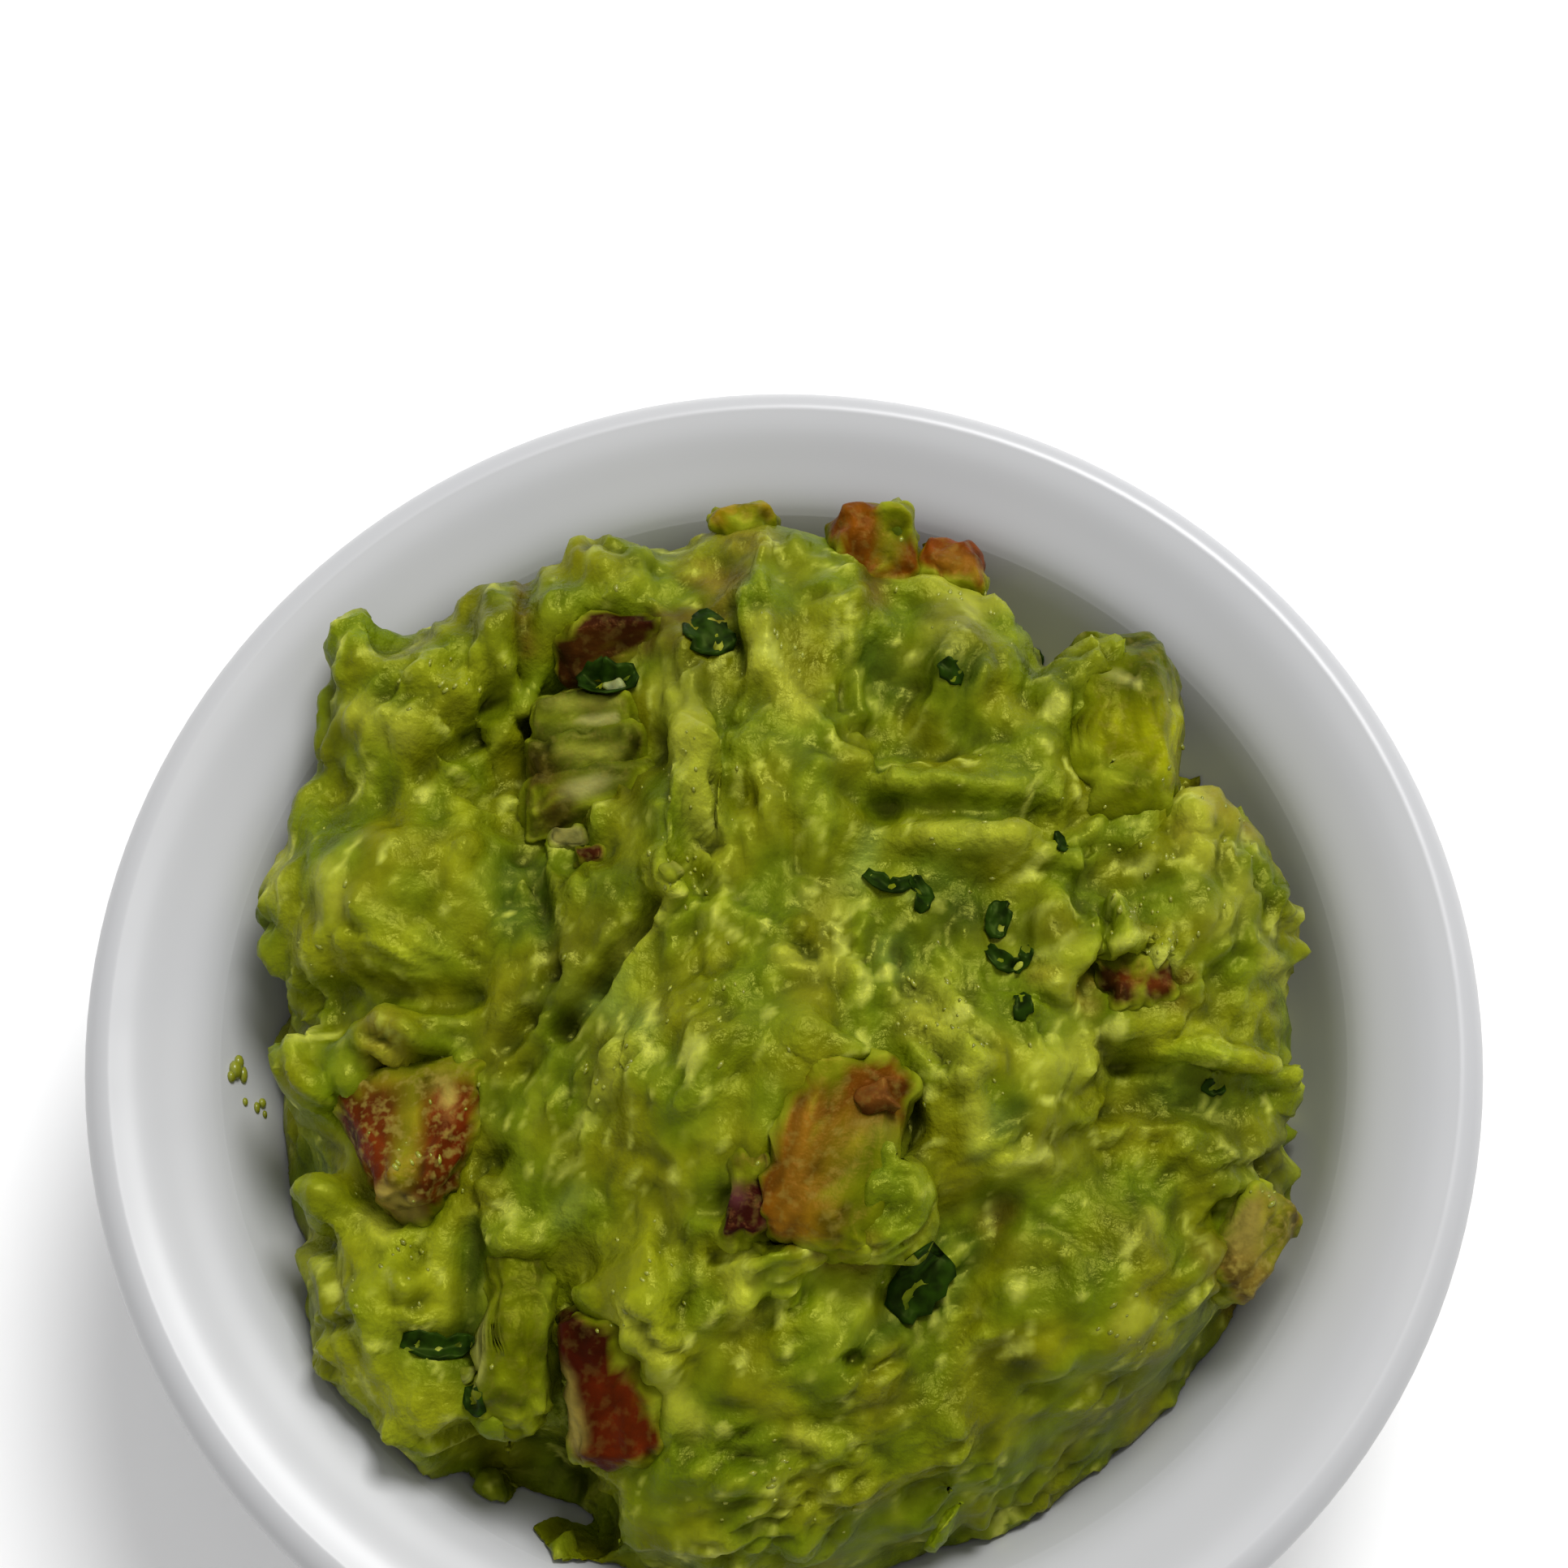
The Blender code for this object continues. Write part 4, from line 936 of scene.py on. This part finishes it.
def wet_flesh(name, tint, gloss, glow):
    """Cut fruit or vegetable in its own colours: juicy, flecked, with a wet film and a soft inner glow."""
    made, tree, shader, where = new_material(name)
    own = add_node(tree, "Attribute", {"attribute_name": "flesh"}).outputs
    speckle = add_node(tree, "TexNoise", Vector=where, Scale=1 / (0.8 * MM), Detail=2.0).outputs["Fac"]
    spotted = add_node(tree, "MapRange", _0=speckle, _1=0.5, _2=0.68).outputs[0]
    share = add_node(tree, "Math", {"operation": "MULTIPLY"}, _0=spotted, _1=own["Alpha"]).outputs[0]
    color = add_node(tree, "MixRGB", _0=share, _1=own["Color"], _2=linear(FLECKS)).outputs[0]
    tree.links.new(color, shader.inputs["Base Color"])
    shader.inputs["Roughness"].default_value = gloss
    shader.inputs["Specular IOR Level"].default_value = 0.16
    shader.inputs["Specular Tint"].default_value = linear(tint)
    shader.inputs["Subsurface Weight"].default_value = glow
    shader.inputs["Subsurface Radius"].default_value = (1.0, 0.5, 0.15)
    shader.inputs["Subsurface Scale"].default_value = 1.2 * MM
    pores = add_node(tree, "TexNoise", Vector=where, Scale=1 / (0.7 * MM), Detail=2.0).outputs["Fac"]
    bump = add_node(tree, "Bump", Strength=0.5, Distance=0.25 * MM, Height=pores).outputs[0]
    tree.links.new(bump, shader.inputs["Normal"])
    return made


tomato_flesh = wet_flesh("cut tomato", "F0A050", 0.4, 0.05)
for number, (name, values) in enumerate(TOMATO.items()):
    bm = dice_bmesh(Vector(values[3:6]) * MM, values[9], number)
    placed(bm, values)
    color, film, flecked = values[12], values[10], values[11]
    piece = smeared_piece(f"diced_{name}", bm, number, color, TOMATO_PATCHES, tomato_flesh, film, flecked)
    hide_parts(name)

# ---------------------------------------------------------------------------------------------------------
# Onion and avocado chunks: one thick piece of onion, cut across its layers, and two larger pieces of
# unmashed avocado. Mash clings to them all, so that their edges run into the heap.
ONION = {"onion_1": (-16.4, 21.4, 36.2, 10, 9, 7, 16, 0, 10, 1, 0.15, 0.2, "565C0C")}
AVOCADO = {
    "avocado_1": (28, 22.6, 34, 10.6, 18.8, 12.5, 0, -6, -5, 1, 0.05, 0.2, "5A5E02"),
    "avocado_2": (-20.6, -26.2, 34.8, 6, 14, 9, 0, 0, -4, 1, 0.1, 0.1, "545A04"),
}
LAYERS = 3
ONION_PATCHES = {
    "80822A": ((-20.8, 26.8, -18.6, 27.2, 1.2), (-18, 20.6, -13.6, 20.9, 0.6), (-19.4, 24.6, -14, 25, 0.5)),
    "949050": ((-16.4, 23.5, -14, 23.7, 0.4), (-17.4, 17.4, -14.6, 18, 0.7)),
    "3E440A": ((-19.6, 22.4, -13.6, 22.2, 0.7), (-19, 19.3, -14, 19.4, 0.5), (-18.6, 25.9, -14, 26.2, 0.5)),
    # Painted shade, in the hollow and the gap beside the onion's layers.
    "3C2A08": ((-20.4, 19.6, -18.6, 15.8, 1.7),),
    "1A1204": ((-11.6, 21.4, -11, 17.6, 1.2),),
}
AVOCADO_PATCHES = {
    "3C4404": ((26, 33, 31, 32, 1.6), (28.6, 26.4, 31.4, 30, 2.4), (26, 18, 29, 17.4, 1.4)),
    "7A7C08": ((27, 22.6, 31, 22, 2.2), (32, 24, 31.6, 20, 1.8)),
    "9A9A4A": ((24.4, 32, 26, 28, 0.45), (26, 28, 29, 26.2, 0.4), (-23.6, -21.6, -23.4, -30, 0.6)),
    "4E560A": ((-18.2, -20, -17.6, -31, 0.9), (-22.6, -31, -19, -32.4, 1.2)),
}


def chunk_bmesh(size, near, seed):
    """A soft avocado chunk: a boxy ellipsoid with a few shallow dents."""
    bm = bmesh.new()
    bmesh.ops.create_icosphere(bm, subdivisions=5, radius=1)
    for vert in bm.verts:
        boxy = Vector([math.copysign(abs(c) ** 0.62, c) for c in vert.co])
        dent = 1 + 0.12 * noise.noise(vert.co * 1.6 + Vector((seed, 0, 0)))
        vert.co = boxy * dent * 0.5
        vert.co.x *= near if vert.co.y < 0 else 1
    bmesh.ops.scale(bm, vec=size, verts=bm.verts)
    for vert in bm.verts:
        vert.co += noise.noise_vector(vert.co / (3.5 * MM) + Vector((seed, 0, 0))) * 1.1 * MM
        vert.co += noise.noise_vector(vert.co / (1.3 * MM)) * 0.35 * MM
    return bm


def layered_bmesh(size, near, seed):
    """Three curved onion layers that lie against each other."""
    bm = bmesh.new()
    for layer in range(LAYERS):
        deep = size.y / LAYERS
        layer_size = Vector((size.x * (1 - 0.08 * layer), deep * 1.6, size.z))
        leaf = dice_bmesh(layer_size, near, seed + layer * 5)
        back = (layer + 0.5) * deep - size.y / 2
        for vert in leaf.verts:
            vert.co.y += back - 0.03 / MM * vert.co.x**2
            vert.co.z -= layer * 0.5 * MM
        mesh = bpy.data.meshes.new("layer")
        leaf.to_mesh(mesh)
        leaf.free()
        bm.from_mesh(mesh)
        bpy.data.meshes.remove(mesh)
    return bm


onion_flesh = wet_flesh("cut onion", "E0E060", 0.45, 0.15)
avocado_flesh = wet_flesh("ripe avocado flesh", "DCDC3C", 0.34, 0.1)
for pieces, shape, patches, flesh, slot in (
    (ONION, layered_bmesh, ONION_PATCHES, onion_flesh, "onion"),
    (AVOCADO, chunk_bmesh, AVOCADO_PATCHES, avocado_flesh, "avocado"),
):
    for number, (name, values) in enumerate(pieces.items()):
        bm = shape(Vector(values[3:6]) * MM, values[9], number)
        placed(bm, values)
        made_name = f"{slot}_chunk_{number + 1}"
        piece = smeared_piece(made_name, bm, number + 20, values[12], patches, flesh, *values[10:12])
        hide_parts(name)

# ---------------------------------------------------------------------------------------------------------
# Coriander: a few chopped leaves, thin and dark, that curl up out of the mash or lie plastered on it.
# Each leaf's x and y along its middle in mm, then its half width and how much its edges curl up.
LEAVES = (
    ((-16.8, 28.2), (-14.8, 27), (-12.2, 27.8), 1.6, 0.5),
    ((-7.8, 32.4), (-6.2, 30.8), (-4.8, 28.8), 1.9, 0.1), ((6.5, 9.5), (8.5, 8), (10.3, 8.9), 0.8, 0.5),
    ((10.2, 9), (11.2, 7.5), (10.5, 6), 0.7, 0.5), ((17.2, 7.4), (17, 6), (16.8, 4.2), 1, 0.3),
    ((16, 3.5), (17.2, 2.2), (18.4, 1.6), 0.7, 0.4), ((18, 1.4), (19, 2.2), (19, 3.4), 0.6, 0.4),
    ((18.4, -0.6), (18.6, -1.8), (18.2, -3), 0.7, 0.3), ((8.4, -25), (10.4, -23), (12.6, -20.8), 1.9, 0.1),
    ((-29.4, -26.6), (-26.6, -27.2), (-23.8, -26.6), 1, 0.2),
    ((-24, -30), (-23.6, -31.4), (-22.8, -32.4), 0.8, 0.2),
    ((13, 27.4), (13.6, 26.4), (14.6, 26), 0.9, 0.2), ((33.2, -6.6), (34, -7), (35, -6.9), 0.6, 0.1),
    ((22, 11), (22.3, 12.2), (22, 13.5), 0.5, 0.1), ((21.6, 34.6), (22.2, 35.2), (23, 35.8), 0.8, 0.2),
)
LEAF_THICKNESS = 0.2 * MM
LEAF_LIFT = 0.1 * MM
LEAF_DARK, LEAF_LIGHT, LEAF_SHINE = "0A1802", "1C3204", "C0E060"


def heap_height(x, y):
    """How high the mash and the pieces in it stand at this place."""
    return bpy.context.scene.ray_cast(filled_bowl, Vector((x, y, 2 * HEAP_TOP)), Vector((0, 0, -1)))[1].z


filled_bowl = bpy.context.evaluated_depsgraph_get()
leaf_mesh = bpy.data.meshes.new("leaves")
leaves = bmesh.new()
for number, (*middle, half_width, curl) in enumerate(LEAVES):
    line = [Vector(point) * MM for point in smooth_curve(middle, 4)]
    leaf = bmesh.new()
    bmesh.ops.create_grid(leaf, x_segments=len(line) - 1, y_segments=6, size=0.5)
    for vert in leaf.verts:
        along = (vert.co.x + 0.5) * (len(line) - 1)
        at = min(int(along), len(line) - 2)
        middle_spot = line[at].lerp(line[at + 1], along - at)
        side = (line[at + 1] - line[at]).orthogonal().normalized()
        across = vert.co.y * 2
        lobes = 1 + 0.5 * noise.noise(Vector((along * 1.3, across * 0.8, number * 3.1)))
        half = half_width * MM * math.sin(math.pi * (0.12 + 0.8 * (vert.co.x + 0.5))) ** 0.6 * lobes
        spot = middle_spot + side * across * half
        ground = max(heap_height(*spot), heap_height(*middle_spot) - 0.3 * MM)
        wrinkle = 0.6 * MM * noise.noise(Vector((spot.x, spot.y, 0)) / (0.9 * MM))
        vert.co = (spot.x, spot.y, ground + LEAF_LIFT + curl * abs(across) * half + wrinkle)
    bmesh.ops.solidify(leaf, geom=leaf.faces, thickness=LEAF_THICKNESS)
    leaf.to_mesh(leaf_mesh)
    leaf.free()
    leaves.from_mesh(leaf_mesh)
bmesh.ops.recalc_face_normals(leaves, faces=leaves.faces)

# Coriander leaf: deep green, smooth and wet, so its folds catch thin bright lines.
coriander, tree, shader, where = new_material("chopped coriander leaf")
veins = add_node(tree, "TexNoise", Vector=where, Scale=1 / (1.2 * MM), Detail=2.0).outputs["Fac"]
depth = add_node(tree, "MapRange", _0=veins, _1=0.35, _2=0.65).outputs[0]
green = add_node(tree, "MixRGB", _0=depth, _1=linear(LEAF_DARK), _2=linear(LEAF_LIGHT)).outputs[0]
tree.links.new(green, shader.inputs["Base Color"])
shader.inputs["Roughness"].default_value = 0.42
shader.inputs["Specular IOR Level"].default_value = 0.14
shader.inputs["Specular Tint"].default_value = linear(LEAF_SHINE)
coriander_leaves = add_piece("coriander_leaves", leaves, coriander)
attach(coriander_leaves, "root")

# ---------------------------------------------------------------------------------------------------------
# Small bits: the smallest cuts of onion and tomato, half sunk in the mash between the big dice.
# Middle x and y, how far it is sunk, size along x, y and z in mm, turn about Z in degrees, narrow end and
# colour.
SMALL_BITS = {
    "onion": (
        (-17.4, 14, 1.1, 3, 1.4, 2.2, 6, 1, "7E7A3C"), (-14, 26.6, 0.6, 1.2, 0.9, 1.2, 20, 1, "8C9460"),
        (-8.8, 8.4, 0.6, 1.2, 0.9, 1.2, 30, 1, "94963C"), (-24.2, -29, 0.6, 1.1, 0.9, 1.2, 0, 1, "8C9048"),
    ),
    "tomato": (
        (-2.5, -16.8, 2, 2.3, 6.2, 4, 4, 1.9, "2A0808"), (-15.8, 12, 0.9, 2, 1.2, 1.6, 0, 1, "3A1606"),
        (7, -9.8, 2.3, 2.8, 2.6, 3, 20, 1, "5A340E"),
    ),
}
# Painted highlights on the dark maroon bit: a pinkish glint and a thin pale line down its right edge.
SMALL_PATCHES = {"5A2E30": ((-3.9, -16.4, -3.4, -17.4, 0.6),), "7A5230": ((-1, -14.4, -1, -19, 0.35),)}
for kind, bits_of_kind in SMALL_BITS.items():
    finish = onion_flesh if kind == "onion" else tomato_flesh
    for number, (x, y, sunk, *size, turn, near, color) in enumerate(bits_of_kind):
        bm = dice_bmesh(Vector(size) * MM, near, number + 40, unevenness=0.2 * MM)
        height = heap_height(x * MM, y * MM) / MM + size[2] / 2 - sunk
        placed(bm, (x, y, height, *size, 0, 0, turn))
        made_name = f"small_{kind}_{number + 1}"
        piece = smeared_piece(made_name, bm, number + 40, color, SMALL_PATCHES, finish, 0.0, 0.2)

# ---------------------------------------------------------------------------------------------------------
# Pulp: tiny wet grains of crushed avocado that stand on the mash and glint, thickest where it is scraped,
# and a few crumbs of it stuck to the bowl's wall where the spoon dragged them up.
# Clusters of grains: middle x and y, spread in mm, how many.
CLUSTERS = (
    (28.4, 4.8, 1.8, 28), (12, -3, 2.6, 18), (36, 22.4, 2.2, 18), (38.6, -16.5, 2, 20),
    (-1.5, -38, 2.6, 18), (-29, -21, 2.2, 16), (27.5, 32.5, 1.8, 12), (-28, -12.6, 2.6, 16),
    (-13.4, -7, 1.6, 11), (-8.7, 9, 2, 16), (-7.4, 17, 1.8, 14), (-26.8, 26.6, 2, 10),
    (-4.5, -0.8, 2.2, 12), (12.6, -7, 2.2, 12), (28.5, 12, 1.8, 10), (41.8, -14, 1.2, 8),
    (26, -25.5, 1.6, 11), (-10, -22, 2, 12), (-35, 24, 2.4, 10), (15, 35, 2.4, 12), (34, 15, 3, 14),
    (-2, 28, 2.4, 12), (-38, 4.5, 3, 10), (14, 12.4, 3, 12), (0, 0, 38, 36),
)
GRAIN_SIZE = (0.1, 0.25)
GRAINS_WITHIN = WELL_TOP_RADIUS - 5 * MM
LEAF_CLEARANCE = 1.8 * MM
GRAIN_DARK, GRAIN_PALE = "6E720A", "8E9228"
# Crumbs on the wall: degrees round it, height and size in mm.
WALL_CRUMBS = (
    (-175.8, 28.2, 0.95), (-176.7, 27.8, 0.7), (-175, 28.6, 0.6), (-175.5, 27.3, 0.6), (-172.6, 27.2, 0.4),
    (-172.8, 25.4, 0.55), (-172.2, 26, 0.45), (-171.6, 25.2, 0.35),
)
leaf_spots = [Vector(point) * MM for *middle, _, _ in LEAVES for point in middle]
pulp = bmesh.new()
for x, y, spread, count in CLUSTERS:
    for _ in range(count):
        spot = Vector((mash_random.gauss(x, spread), mash_random.gauss(y, spread))) * MM
        on_leaf = any((spot - leaf_spot).length < LEAF_CLEARANCE for leaf_spot in leaf_spots)
        if spot.length > GRAINS_WITHIN or on_leaf:
            continue
        size = mash_random.uniform(*GRAIN_SIZE)
        way = math.atan2(*reversed(flow(*spot)))
        height = heap_height(*spot) / MM - 0.1 * size
        length = size * mash_random.uniform(1, 2.2)
        grain_place = ellipsoid(*(spot / MM), height, length, size, size * 0.5, 0)
        turn = Matrix.Rotation(way, 4, "Z")
        centre = Matrix.Translation((*spot, 0))
        matrix = centre @ turn @ centre.inverted() @ grain_place
        bmesh.ops.create_icosphere(pulp, subdivisions=1, radius=1, matrix=matrix)
for angle, height, size in WALL_CRUMBS:
    radius = (well_radius(height * MM) + GAP) / MM - 0.1 * size
    x, y = radius * math.cos(math.radians(angle)), radius * math.sin(math.radians(angle))
    crumb = ellipsoid(x, y, height, size * 0.6, size * mash_random.uniform(0.8, 1.3), size, angle)
    bmesh.ops.create_icosphere(pulp, subdivisions=2, radius=1, matrix=crumb)

# Pulp grains: paler than the mash, translucent and wet, so each has one small highlight.
grains_paint, tree, shader, where = new_material("wet avocado pulp")
shades = add_node(tree, "TexNoise", Vector=where, Scale=1 / (4 * MM), Detail=1.0).outputs["Fac"]
share = add_node(tree, "MapRange", _0=shades, _1=0.35, _2=0.65).outputs[0]
pale = add_node(tree, "MixRGB", _0=share, _1=linear(GRAIN_DARK), _2=linear(GRAIN_PALE)).outputs[0]
tree.links.new(pale, shader.inputs["Base Color"])
shader.inputs["Roughness"].default_value = 0.25
shader.inputs["Specular IOR Level"].default_value = 0.5
pulp_grains = add_piece("pulp_grains", pulp, grains_paint)
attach(pulp_grains, "root")
